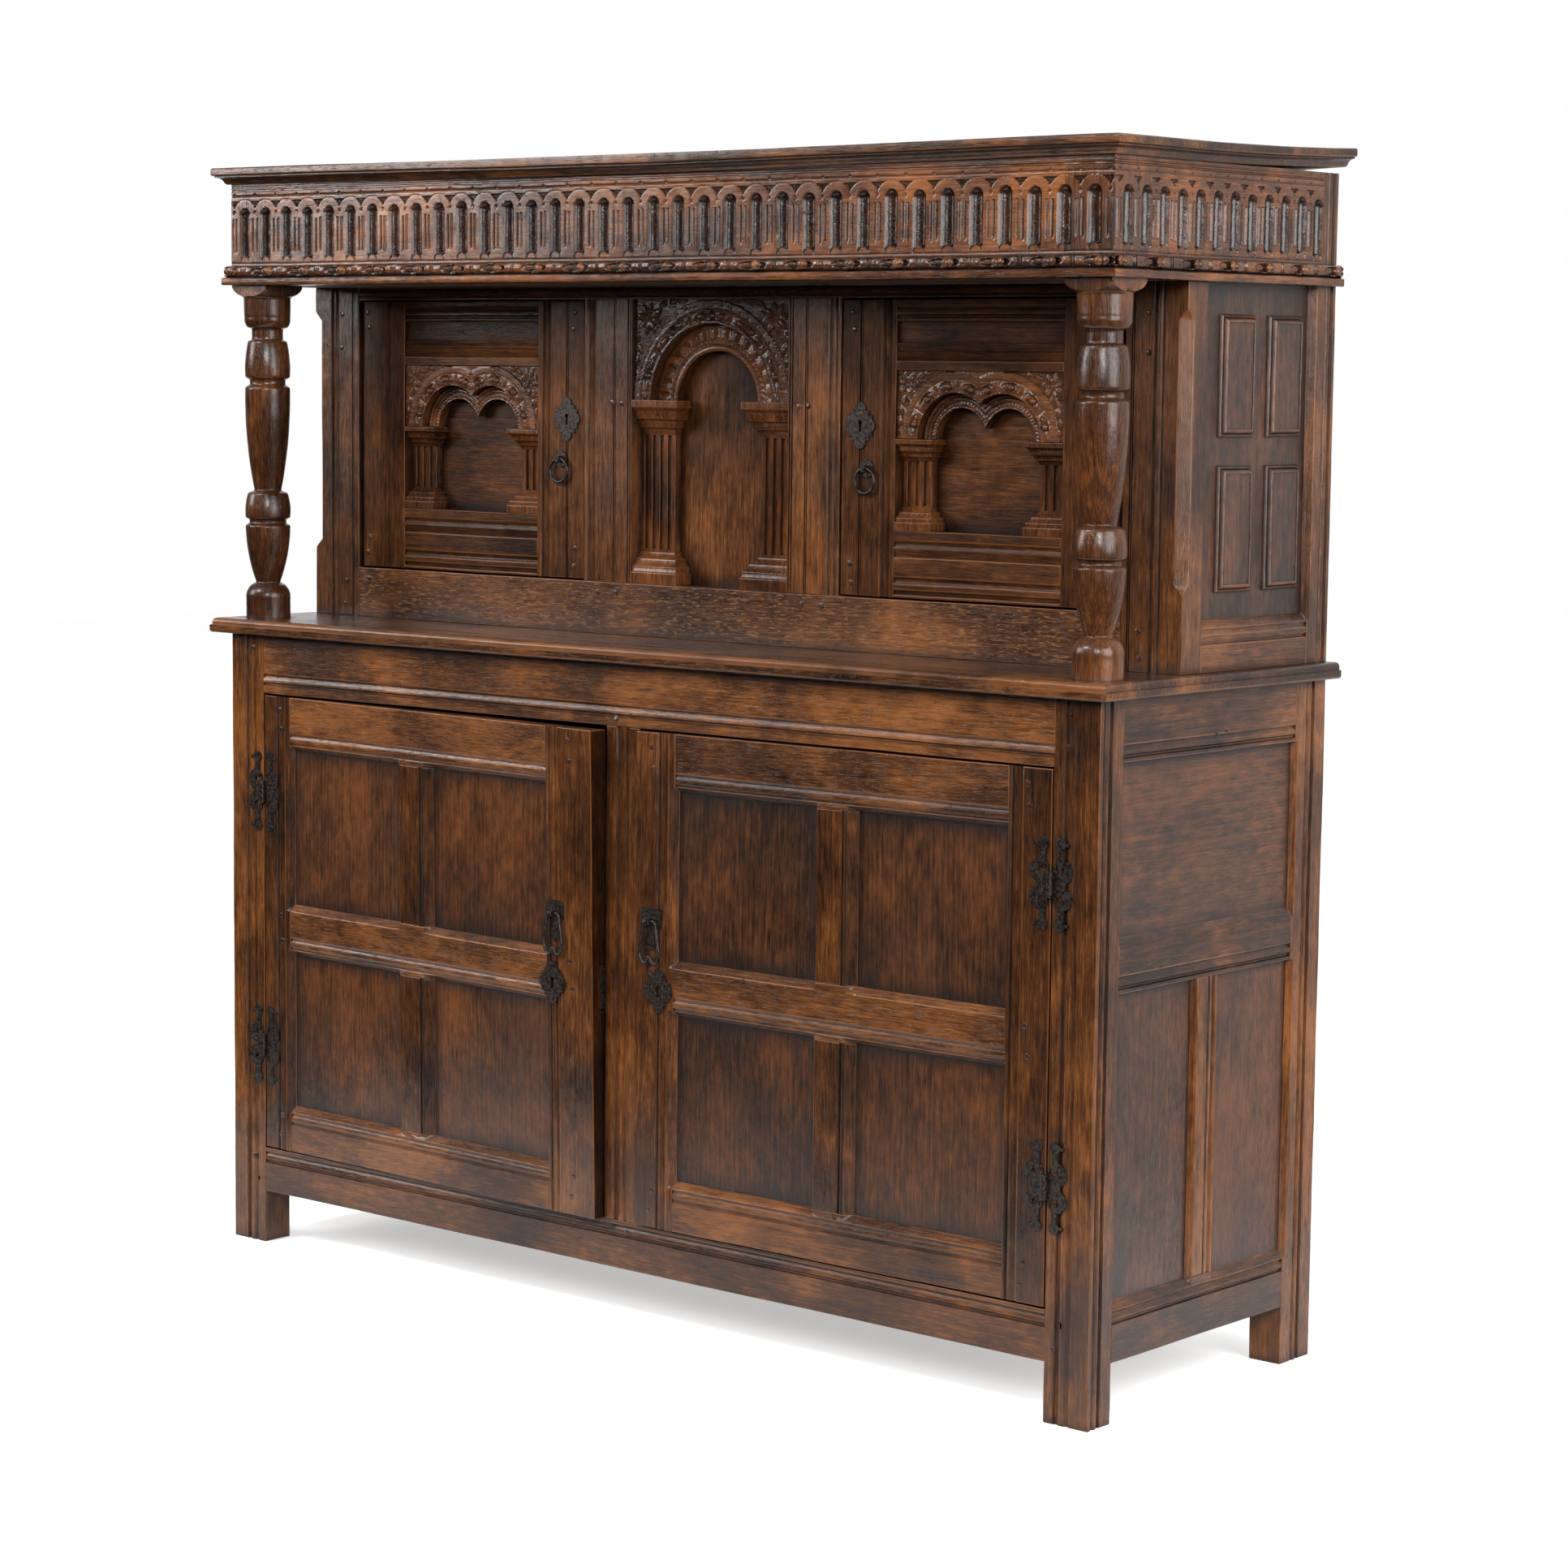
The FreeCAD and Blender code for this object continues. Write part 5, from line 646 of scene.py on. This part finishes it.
def flower(u, v, x, z, reach, petals, turn=0):
    """A flower of that many petals round a bead."""
    height, far = 0, reach * 0.62
    for petal in range(petals):
        angle = turn + petal * 360 / petals
        petal_x, petal_z = x + far * math.cos(math.radians(angle)), z + far * math.sin(math.radians(angle))
        height = np.maximum(height, leaf(u, v, petal_x, petal_z, reach * 0.42, reach * 0.2, angle))
    return np.maximum(height, 1.5 * np.sqrt(bump(np.hypot(u - x, v - z), reach * 0.22)))


def spray(u, v, bloom, leaves, long, wide):
    """A flower and the leaves around it: bloom is its place, reach, petals and turn."""
    height = flower(u, v, *bloom)
    for x, z, turn in leaves:
        height = np.maximum(height, leaf(u, v, x, z, long, wide, turn))
    return height


def bead_band(r, along, low, high):
    """One unit of the arch's band: a bead in an oval hollow with leaves, along runs from -1 to 1 over it."""
    across = (r - (low + high) / 2) / ((high - low) / 2)
    oval = np.sqrt((along / 0.86) ** 2 + across ** 2)
    height = np.where(oval < 0.84, 0.5 + 0.3 * oval, 2.4)
    height = height + 0.7 * bump(oval - 0.93, 0.1)
    for side in (-1, 1):
        lens = np.sqrt(np.clip(1 - ((along - side * 0.5) / 0.26) ** 2 - (across / 0.5) ** 2, 0, 1))
        height = np.maximum(height, 0.5 + 1.9 * lens)
    return height - 1.1 * bump(np.abs(along) - 1, 0.05)


def beaded_arch(x, z, low, high, ring, bead, step, last):
    """The band of an arch between two radii, with a round bead on the ring in the middle of each unit."""
    r, angle = np.hypot(x, z), np.degrees(np.arctan2(z, x))
    middle = (np.clip(np.floor(angle / step), 0, last) + 0.5) * step
    band = bead_band(r, (angle - middle) * 2 / step, low, high)
    bead_x, bead_z = ring * np.cos(np.radians(middle)), ring * np.sin(np.radians(middle))
    ball = np.sqrt(np.clip(bead ** 2 - (x - bead_x) ** 2 - (z - bead_z) ** 2, 0, None))
    return r, angle, np.maximum(band, np.where(ball > 0, 1.2 + ball, 0))


def arch_plate(u, v):
    """Carving on the outer order of the middle arch."""
    r, angle, band = beaded_arch(u, v - arch_foot, 117, 132, 124.5, 5.2, 36, 4)
    flat = 2.4 - 0.9 * bump(r - 139, 1.2) * (np.abs(((angle + 2) % 7.2) - 3.6) < 0.55)
    height = np.where(r < 117, 2.2 + 1.1 * np.sqrt(bump(r - 115, 2)), band)
    height = np.where((r >= 132) & (r < 134.5), 2.2 + 1.2 * np.sqrt(bump(r - 133.2, 1.3)), height)
    height = np.where((r >= 134.5) & (r < 146), flat, height)
    leaves = ((92, 1431, 150), (72, 1436, 165), (139, 1385, 100), (134, 1368, 60), (141, 1352, 100),
              (139, 1333, 75), (143, 1315, 95), (56, 1436.5, 178), (100, 1421, 130))
    corner = spray(np.abs(u), v, (119, 1411, 22, 8, 12), leaves, 8.5, 3.3)
    return np.where(r >= 146, 0.35 + 2.1 * corner, height) + 0.05 * gouged(u * 2, v * 2, 1)


def centre_fan(u, v):
    """Carving on the inner order: a rope along its edge and a fan of gouge cuts behind it."""
    z = v - arch_foot
    r, angle = np.hypot(u, z), np.degrees(np.arctan2(z, u))
    twist = np.sin(np.radians(angle * 68 + (r - 88.5) * 26))
    rope = 2.4 * np.sqrt(bump(r - 88.5, 3.4)) * (0.72 + 0.28 * twist)
    blade = np.abs((angle % 12) - 6) / 6
    round_end = r < 108.5 - 5.5 * blade ** 2
    fan = np.where((r > 93) & round_end, 1.7 - 1.4 * bump(blade, 0.62), 1.8)
    fan = fan - 0.7 * bump(r - (109 - 5.5 * blade ** 2), 0.9) * (r > 93)
    edge = 1.6 * np.sqrt(bump(r - 79, 4.2)) + 0.3
    return np.where(r < 84, edge, np.where(r < 92.3, 0.5 + rope, fan)) + 0.05 * gouged(u * 2, v * 2, 2)


def outside(radius, centres, foot, outer=1e9):
    """Keeps the wood outside arches of that radius, inside those of the outer one, and above their feet."""
    def keep(u, v):
        near = np.min([np.hypot(u - centre, v - foot) for centre in centres], axis=0)
        return (near > radius) & (near < outer) & (v >= foot - 0.01)
    return keep


def snapped(place, radius, centres, foot, outer=1e9):
    """Draws points just inside an arch out to its edge, and points beyond the outer edge back to it."""
    def moved(u, v, h):
        gaps = np.array([np.hypot(u - centre, v - foot) for centre in centres])
        nearest = np.argmin(gaps, axis=0)
        centre = np.asarray(centres, float)[nearest]
        r = np.maximum(gaps.min(0), 1e-6)
        wanted = np.clip(r, radius, outer)
        return place(centre + (u - centre) * wanted / r, foot + (v - foot) * wanted / r, h)
    return moved


arch_rows = np.append(np.arange(arch_foot + 4, 1438, arch_step), 1438.5)
carved("centre_arch_carving", np.arange(-146.6, 146.7, arch_step), arch_rows, arch_plate,
       snapped(facing(0, 179), arch_edge, (0,), arch_foot), carving_thick, carved_oak, "carcass",
       keep=outside(arch_edge, (0,), arch_foot), grain="X")
carved("centre_fan_carving", np.arange(-113, 113.1, fan_step),
       np.arange(arch_foot + 4, arch_foot + 114, fan_step), centre_fan,
       snapped(facing(0, 193), fan_edge, (0,), arch_foot, fan_end), carving_thick, carved_oak, "carcass",
       keep=outside(fan_edge, (0,), arch_foot, fan_end), grain="X")

# Doors of the upper cupboard.
# Each has two stiles, two rails and a panel behind twin arches on short pilasters, which are carved with
# beads in ovals.
door_foot, door_middle, door_centres = 1249.0, 475.5, (-40.0, 40.0)
twin_edge, rope_edge, rope_end, twin_step, rope_step = 63.3, 43.3, 63.0, 1.35, 1.25


def twin_plate(u, v):
    """Carving on the outer order of the twin arches."""
    x = np.abs(u)
    r, _, band = beaded_arch(x - 40, v - door_foot, 64.5, 80, 72.5, 4.4, 32, 3)
    height = np.where(r < 64.5, 2.4, band)
    height = np.where((r >= 80) & (r < 92), 2.4 - 0.8 * bump(r - 81.2, 1.0), height)
    boss = 1.4 + 2.2 * np.sqrt(bump(np.hypot(u, v - 1310), 4.4))
    height = np.where(x < 7.5 - 0.25 * np.abs(v - 1307), np.maximum(boss, 1.0), height)
    leaves = ((128, 1301, 110), (118, 1303, 60), (131, 1288, 95), (124, 1286, 60), (134, 1273, 95),
              (131, 1259, 85), (99, 1334, 160), (86, 1337, 175))
    corner = spray(x, v, (121, 1322, 17, 7, 20), leaves, 7, 2.8)
    around = np.where(x > 40, 0.35 + 2.0 * corner, 1.6)
    return np.where(r >= 92, around, height) + 0.05 * gouged(u * 2, v * 2, 3)


def twin_rope(u, v):
    """Carving on the inner order of the twin arches: rolls that step down to a rope along the edge."""
    x, z = np.abs(u), v - door_foot
    r, angle = np.hypot(x - 40, z), np.degrees(np.arctan2(z, x - 40))
    twist = np.sin(np.radians(angle * 62 + (r - 48.3) * 30))
    rope = 2.0 * np.sqrt(bump(r - 48.3, 2.9)) * (0.7 + 0.3 * twist)
    rolls = 3.4 * np.sqrt(bump(r - 60.4, 2.6)) + 2.2 * np.sqrt(bump(r - 55, 2.4))
    lip = np.where(r < 45.2, 1.0, 0)
    return 0.4 + lip + np.where((r >= 45.2) & (r < 51.4), rope, rolls) + 0.05 * gouged(u, v, 4)


for side, sign in (("left", -1), ("right", 1)):
    body = f"upper_{side}_door"
    # The upper doors' tones lie at the dark end, partly painted shade under the frieze; their panels have a
    # band of painted shade and dirt round the edge
    worn(f"upper_{side}_door_uprights", shaded_door_oak, shades=(0.0, 0.5))
    worn(f"upper_{side}_door_rails", shaded_door_oak, shades=(0.0, 0.4))
    worn(f"upper_{side}_door_panel", shaded_door_oak, grain="X", shades=(0.3, 0.55), rim=0.03)
    worn(f"upper_{side}_door_arcade", carved_oak, grain="Z", round_off=0.0008, shades=(0.15, 0.4))
    middle = door_middle * sign
    carved(f"upper_{side}_door_arch_carving", np.arange(-139.7, 139.8, twin_step),
           np.append(np.arange(door_foot + 1, 1340, twin_step), 1341), twin_plate,
           snapped(facing(0, 179, middle), twin_edge, door_centres, door_foot), carving_thick, carved_oak,
           body, keep=outside(twin_edge, door_centres, door_foot), grain="X")
    carved(f"upper_{side}_door_rope_carving", np.arange(-103, 103.1, rope_step),
           np.arange(door_foot + 1, 1312.5, rope_step), twin_rope,
           snapped(facing(0, 193, middle), rope_edge, door_centres, door_foot, rope_end), carving_thick,
           carved_oak, body, keep=outside(rope_edge, door_centres, door_foot, rope_end), grain="X")

# Frieze.
# Front and side rails and the square heads of the posts are cut with one row of flutes. Between the round
# heads the carver chipped triangles, below them two grooves and a star punch, and a bead runs along the top.
flute_pitch, flute_half, flute_sunk = 46.0, 11.0, 2.0
flute_foot, flute_top = 1499.0, 1573.0


def frieze_height(pitch, first):
    """Height of the frieze above its face, in millimetres, for flutes at that pitch."""
    def height(u, v):
        which = np.round((u - first) / pitch)
        off = u - first - which * pitch
        wander = 1.2 * np.sin(which * 2.4) * np.cos(which * 0.9)
        half = pitch / 2 - np.abs(off)
        above = np.clip(v - (flute_top - flute_half + wander), 0, None)
        r = np.sqrt(off ** 2 + above ** 2)
        flute = np.sqrt(np.clip(flute_half ** 2 - r ** 2, 0, None)) - flute_sunk
        up = v - flute_foot - wander
        flute = np.where((up > 0) & (flute > 0), flute + 0.1 * gouged(u * 2, v * 1.4, which), 0)
        # A half-round tongue fills the foot of each flute, which runs down in a point at each side of it
        tongue = np.sqrt(off ** 2 + (up + 7) ** 2)
        depth = np.where(up < 0, 0, np.clip(flute, 0, None))
        ears = (up < 0) & (up > -7) & (np.abs(off) < flute_half - 1.2) & (tongue > 9.3)
        depth = np.where(ears, 2.6, depth)
        depth = np.where((tongue <= 9.3) & (up > -7), 1.5 * (tongue > 8.2), depth)
        arc = pitch * 0.57
        centre = 1585 - arc
        reach = np.sqrt(off ** 2 + (v - centre) ** 2)
        chip = (reach > arc + 0.4) & (v < 1583) & (v > centre)
        depth = np.maximum(depth, np.where(chip, 2.2 + 0.08 * (1583 - v), 0))
        depth = np.maximum(depth, 0.5 * bump(reach - arc, 0.8) * (v > centre + 5) * (v < 1586.5))
        star = np.sqrt(half ** 2 + (v - 1565.5 - wander) ** 2)
        petal = 2.6 + 0.9 * np.cos(5 * np.arctan2(v - 1565.5 - wander, half))
        depth = np.maximum(depth, 1.5 * bump(star, petal))
        groove = bump(half - 4.4, 2.1) * ((v > 1507 + wander) & (v < 1556 + wander * 0.5))
        depth = np.maximum(depth, 2.0 * np.sqrt(groove))
        return -depth - top_run(u, v, half)
    return height


def top_run(u, v, half):
    """The scratched bead along the top of the frieze, with one punched dot to each flute."""
    depth = 1.5 * np.sqrt(bump(v - 1590, 1.6)) + 1.5 * np.sqrt(bump(v - 1598.5, 1.6))
    depth = depth + 1.2 * np.sqrt(bump(v - 1603.5, 1.1)) + 0.8 * np.sqrt(bump(v - 1490.5, 1.0))
    dot = np.sqrt(half ** 2 + (v - 1591.5) ** 2)
    return np.maximum(depth, 2.2 * bump(dot, 2.4))


def mitred(low, high, both):
    """Draws in the back of a slab at the ends where it meets another at a corner."""
    def sink(u, v):
        return np.where(u <= low, low + both[0], np.where(u >= high, high - both[1], u)), v
    return sink


frieze_oak = oak("waxed_frieze_oak", (0.016, 0.0058, 0.0026), (0.075, 0.0235, 0.0068), (0.24, 0.078, 0.019),
                 gloss=0.2, dusk=0.45)
frieze_up = np.concatenate([[1458, 1472], np.arange(1486, 1500, 1.4), np.arange(1500, 1556, 2.2),
                            np.arange(1556, 1607.9, 1.3), [1608]])
rail_end, block_end, frieze_face, end_face, rail_thick, head_thick = 736.5, 811.5, 4.0, 811.5, 30, 15
side_pitch, side_first, side_start, side_end = 39.5, 35.0, 79, 482.0
carved("frieze_front", np.linspace(-rail_end, rail_end, 1089), frieze_up, frieze_height(flute_pitch, 0),
       facing(0, frieze_face), rail_thick, frieze_oak, "carcass", ("frieze_rails",), grain="X", stained=1.7)
for side, hand in ((-1, "left"), (1, "right")):
    side_height, out_of_end = frieze_height(side_pitch, side_first), facing(side, end_face)
    carved(f"frieze_{hand}_end", np.linspace(side_start, side_end, 301), frieze_up, side_height, out_of_end,
           rail_thick, frieze_oak, "carcass", ("frieze_rails",), grain="Y", stained=1.7)
    low, high = sorted((rail_end * side, block_end * side))
    carved(f"post_{hand}_head_front", np.linspace(low, high, 56), frieze_up, frieze_height(flute_pitch, 0),
           facing(0, frieze_face), head_thick, frieze_oak, "carcass", grain="Z",
           sink=mitred(low, high, (head_thick, 0) if side < 0 else (0, head_thick)))
    carved(f"post_{hand}_head_side", np.linspace(frieze_face, side_start, 56), frieze_up, side_height,
           out_of_end, head_thick, frieze_oak, "carcass", grain="Z",
           sink=mitred(frieze_face, side_start, (head_thick, 0)))

# Carved band under the frieze.
# A separate strip, nailed on: a plain fillet below, and above it beads in oval hollows with a leaf, divided
# by turned-looking spools. It is mitred at the corners.
band_low, band_out, band_tall = 1458.0, 11.0, 29.0


def band_height(first, pitch):
    """How far the band stands out from the frieze."""
    def height(u, v):
        up = v - band_low
        base = np.interp(up, (0, 0.8, 1.6, 9.4, 10.4, 12.2, 13.4, 15, 20, 25, 27.5, band_tall),
                         (9.2, 10.6, band_out, band_out, 10.2, 5.6, 7.4, 8.6, 9.4, 8.6, 6.8, 3.2))
        which = np.round((u - first) / pitch)
        off = u - first - which * pitch
        rise = up - 20.2
        open_field = (up > 13.2) & (up < 27.6)
        oval = np.sqrt(((off + 9) / 27) ** 2 + (rise / 6.6) ** 2)
        cut = np.where(oval < 0.86, 3.0 * np.sqrt(np.clip(1 - (oval / 0.86) ** 4, 0, 1)), 0)
        cut = cut - 0.9 * bump(oval - 0.98, 0.1)
        leaf_shape = np.sqrt(np.clip(1 - ((off + 19) / 11) ** 2 - (rise / 3.6) ** 2, 0, 1))
        leaf_shape = leaf_shape * (1 - 0.4 * bump(rise, 0.9))
        ring = 1.6 * bump(np.hypot(off, rise) - 9.3, 1.3)
        spool = np.minimum(np.abs(off - pitch / 2 + 10), np.abs(off + pitch / 2 + 10))
        ridges = 1.5 * bump(spool - 2.2, 1.7) - 1.3 * (spool < 4.6)
        bead = np.sqrt(np.clip(7.0 ** 2 - off ** 2 - rise ** 2, 0, None))
        raised = np.where(oval > 0.8, ring, 0) + np.where(oval > 1.06, ridges, 0)
        wood = np.where(open_field, base - cut + 2.3 * leaf_shape + raised, base)
        wood = np.maximum(wood, np.where(bead > 0, 7.0 + bead * 0.9, 0))
        return wood + 0.05 * gouged(u * 1.4, v * 1.4, which)
    return height


band_rows = band_low + np.concatenate([[0, 0.8, 1.6, 5.5, 9.4, 10.4, 11.4, 12.2, 12.9],
                                       np.arange(13.6, 28.2, 0.95), [band_tall]])
front_reach, side_reach, band_pitch, end_pitch, end_first = 811.5, 526.0, 79.7, 82, 15


def band_front(u, v, h):
    return u * (1 + h / front_reach) / 1000, front_y + (frieze_face - h) / 1000, v / 1000


carved("band_front", np.linspace(-front_reach, front_reach, 1100), band_rows, band_height(0, band_pitch),
       band_front, carving_thick, frieze_oak, "carcass", ("carved_band",), grain="X")
for side, hand in ((-1, "left"), (1, "right")):
    def band_side(u, v, h):
        slid = u - h * (side_reach - u) / (side_reach - frieze_face)
        return side * (end_face + h) / 1000, front_y + slid / 1000, v / 1000

    carved(f"band_{hand}", np.linspace(frieze_face, 520, 350), band_rows, band_height(end_first, end_pitch),
           band_side, carving_thick, frieze_oak, "carcass", ("carved_band",), grain="Y")


def band_bead(work, at, outward, reach):
    """One rounded boss of the band, worn to a brighter brown than its hollow."""
    made = bmesh.ops.create_uvsphere(work, u_segments=20, v_segments=12, radius=reach)
    for vert in made["verts"]:
        out = vert.co.dot(outward)
        vert.co = at + vert.co + outward * (0.12 * out if out > 0 else 0)


bead_oak = oak("rubbed_bead_oak", (0.03, 0.011, 0.004), (0.1, 0.033, 0.009), (0.26, 0.092, 0.024),
               gloss=0.16, figure=0.3, dusk=0.2, reach=0.006, clean=0.8)
bead_z, bead_out, bead_reach = (band_low + 20.2) / 1000, 0.0075, 0.0068
beads = bmesh.new()
for count in range(-10, 11):
    at = Vector((count * band_pitch / 1000, front_y + frieze_face / 1000 - bead_out, bead_z))
    band_bead(beads, at, Vector((0, -1, 0)), bead_reach)
for side in (-1, 1):
    for count in range(6):
        along = front_y + (end_first + count * end_pitch) / 1000
        at = Vector((side * (end_face / 1000 + bead_out), along, bead_z))
        band_bead(beads, at, Vector((side, 0, 0)), bead_reach)
lay_grain(beads, random.Random("beads"), "X")
finished("carved_band_beads", beads, bead_oak, "carcass", flat=False)

# Corner posts.
# Turned on a pole lathe from one piece with the square head, whose carved faces stand in front of its core.


def sliced(work, point, outward):
    """Saws a piece through and closes the cut: what lies outward of the plane goes."""
    bmesh.ops.bisect_plane(work, geom=work.verts[:] + work.edges[:] + work.faces[:], plane_co=point,
                           plane_no=outward, clear_outer=True, dist=0.000001)
    rim = [edge for edge in work.edges if len(edge.link_faces) == 1]
    bmesh.ops.triangle_fill(work, use_beauty=False, edges=rim)


def post_core(work):
    """The square head alone: whole below the band's top, cut back above it behind its carved faces."""
    head = work.copy()
    seam = Vector((0, 0, 1.487))
    sliced(work, seam, Vector((0, 0, 1)))
    sliced(work, Vector((0, 0, 1.4415)), Vector((0, 0, -1)))
    sliced(head, seam, Vector((0, 0, -1)))
    sliced(head, Vector((0, front_y + 0.018, 0)), Vector((0, -1, 0)))
    for side in (-1, 1):
        sliced(head, Vector((side * (block_end - 14) / 1000, 0, 0)), Vector((side, 0, 0)))
    part = bpy.data.meshes.new("post_head")
    head.to_mesh(part)
    head.free()
    work.from_mesh(part)
    bpy.data.meshes.remove(part)


worn("turned_posts", carved_oak, grain="Z", round_off=0.001, reshape=post_core)

# Radius and height of the turning, in millimetres, with the rise of the swelling below each point
turning = ((33.4, 957, 0), (33.4, 986.3, 0), (24.8, 1007.8, 3), (18, 1011, 0), (33.8, 1097.6, 3.8),
           (27.8, 1100.9, 0), (27.8, 1106, 0), (33.8, 1109.3, 0), (30, 1146.4, 1.9), (20.3, 1150.3, 0),
           (33.9, 1305.3, 4.1), (27, 1309.8, 0), (27, 1316.4, 0), (33.8, 1320.9, 0), (29.3, 1375, 1.9),
           (23.6, 1376.9, 0), (23.6, 1393.8, 0), (30, 1395.1, 0), (34.5, 1410.7, 1.9), (34.9, 1412.7, 0),
           (35.4, 1440, 0), (38.6, 1442, 0))
post_x, post_y, post_turns, profile_step = 774.0, 41.5, 60, 1.8
outline = []
for (r0, z0, _), (r1, z1, rise) in zip(turning, turning[1:]):
    wide, tall, length = r1 - r0, z1 - z0, math.hypot(r1 - r0, z1 - z0)
    steps = max(2, round(length / profile_step))
    for step in range(steps):
        t = step / steps
        swell = rise * 4 * t * (1 - t) / length
        outline.append((r0 + wide * t + swell * tall, z0 + tall * t - swell * wide))
outline.append(turning[-1][:2])
outline = np.array(outline)
soft = outline.copy()
soft[1:-1] = outline[1:-1] * 0.5 + (outline[:-2] + outline[2:]) * 0.25
for side, hand in ((-1, "left"), (1, "right")):
    turns = np.linspace(0, 2 * math.pi, post_turns, endpoint=False)
    rings = np.stack([side * post_x + np.outer(soft[:, 0], np.cos(turns)),
                      post_y + np.outer(soft[:, 0], np.sin(turns)),
                      np.outer(soft[:, 1], np.ones(post_turns))], -1)
    points = rings.reshape(-1, 3) / 1000 + np.array((0, front_y, 0))
    work = bmesh.new()
    verts = [work.verts.new(point) for point in points.tolist()]
    for row in range(len(soft) - 1):
        for turn in range(post_turns):
            after = (turn + 1) % post_turns
            work.faces.new((verts[row * post_turns + turn], verts[row * post_turns + after],
                            verts[(row + 1) * post_turns + after], verts[(row + 1) * post_turns + turn]))
    work.faces.new(verts[:post_turns][::-1])
    work.faces.new(verts[-post_turns:])
    lay_grain(work, random.Random("post" + hand), "Z")
    for vert in work.verts:
        vert.co = wobbled(vert.co)
    finished(f"turned_post_{hand}", work, carved_oak, "carcass", ("turned_posts",), flat=False)

# Oak pegs.
# Each mortise and tenon is drawn tight by two pegs of split oak, driven in and cut off nearly flush.
peg_radius, peg_proud, peg_corners = 0.0045, 0.0005, 7
peg_rings = ((1.12, -0.8, 1.0), (1.0, 0.5, 0.8), (0.86, 1.0, 0.45))


def pegs(node, spots, inward):
    """Pegs on one piece; each spot is where a peg is driven from, outside the wood, in millimetres."""
    skin = BVHTree.FromObject(bpy.data.objects[node + "_worn"], bpy.context.evaluated_depsgraph_get())
    chance = random.Random(node + "pegs")
    work = bmesh.new()
    black_layer = work.verts.layers.float.new("sunk")
    for spot in spots:
        face, way, _, _ = skin.ray_cast(Vector(spot) / 1000 + Vector((0, front_y, 0)), Vector(inward), 0.1)
        side = way.orthogonal().normalized()
        other, turn = way.cross(side), chance.uniform(0, 6)
        rings = []
        for wide, out, darkening in peg_rings:
            ring = []
            for corner in range(peg_corners):
                angle = turn + corner * 2 * math.pi / peg_corners
                far = peg_radius * wide * (1 + 0.07 * math.sin(angle * 2 + turn * 3))
                ring.append(work.verts.new(face + (side * math.cos(angle) + other * math.sin(angle)) * far
                                           + way * out * peg_proud))
                ring[-1][black_layer] = darkening
            rings.append(ring)
        for lower, upper in zip(rings, rings[1:]):
            for corner in range(peg_corners):
                after = (corner + 1) % peg_corners
                work.faces.new((lower[corner], lower[after], upper[after], upper[corner]))
        work.faces.new(rings[-1])
        work.faces.new(rings[0][::-1])
    bmesh.ops.recalc_face_normals(work, faces=work.faces)
    lay_grain(work, chance, "Y" if inward[1] else "X", (0.0, 0.5))
    finished(node + "_pegs", work, frame_oak, frame["nodes"][node]["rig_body"], flat=False)


into_front, into_right_end = (0, 1, 0), (-1, 0, 0)
bpy.context.view_layer.update()
upper_door_pegs = ((262, 1052), (259, 1078), (264, 1396), (260, 1419),
                   (694, 1056), (690, 1080), (692, 1398), (695, 1420))


def on_both_sides(y, places):
    """The same places left and right of the middle."""
    return [(side * x, y, z) for side in (-1, 1) for x, z in places]


pegs("base_front_stiles", on_both_sides(-30, ((757, 872), (762, 914), (756, 98), (763, 131))), into_front)
pegs("base_front_rails", [(x, -30, z) for x, z in ((-13, 858), (14, 861), (-15, 134), (12, 132))],
     into_front)
pegs("base_side_rails", [(840, y, z) for y, z in ((262, 878), (285, 880))], into_right_end)
for hand, side, uprights in (("left", -1, (-700, -76)), ("right", 1, (65, 702))):
    pegs(f"lower_{hand}_door_uprights",
         [(x + lean, -80, z) for x in uprights for z, lean in
          ((174, -3), (203, 2), (472, 3), (511, -2), (794, 1), (823, -3))], into_front)
    pegs(f"upper_{hand}_door_uprights", [(side * x, 145, z) for x, z in upper_door_pegs], into_front)
for node, y, places in (
        ("upper_front_stiles", 150, ((748, 1474), (750, 1418), (751, 1367), (745, 975), (741, 1010))),
        ("upper_front_rails", 140, ((176, 1018), (212, 1017), (176, 1452), (210, 1453), (690, 1016))),
        ("upper_muntins", 140, ((166, 1290), (184, 1291)))):
    pegs(node, on_both_sides(y, places), into_front)

# Top.
# Boards laid side by side, moulded below their edge. Age has bent them: they dip along the front, and lift
# at the back corner on the right.
top_dip, top_lift = 0.004, 0.009


def bent_by_age(point):
    """A point of the top boards, moved by their warp."""
    front = max(0.0, min(1.0, 0.5 - point.y * 2))
    dip = top_dip * front * math.cos(point.x * 1.9) ** 2
    corner = max(0.0, (point.x - 0.35) / 0.48) * max(0.0, (point.y + 0.1) / 0.38)
    return point + Vector((0, 0, top_lift * corner ** 2 - dip))


worn("top_boards", counter_oak, grain="X", bend=bent_by_age)
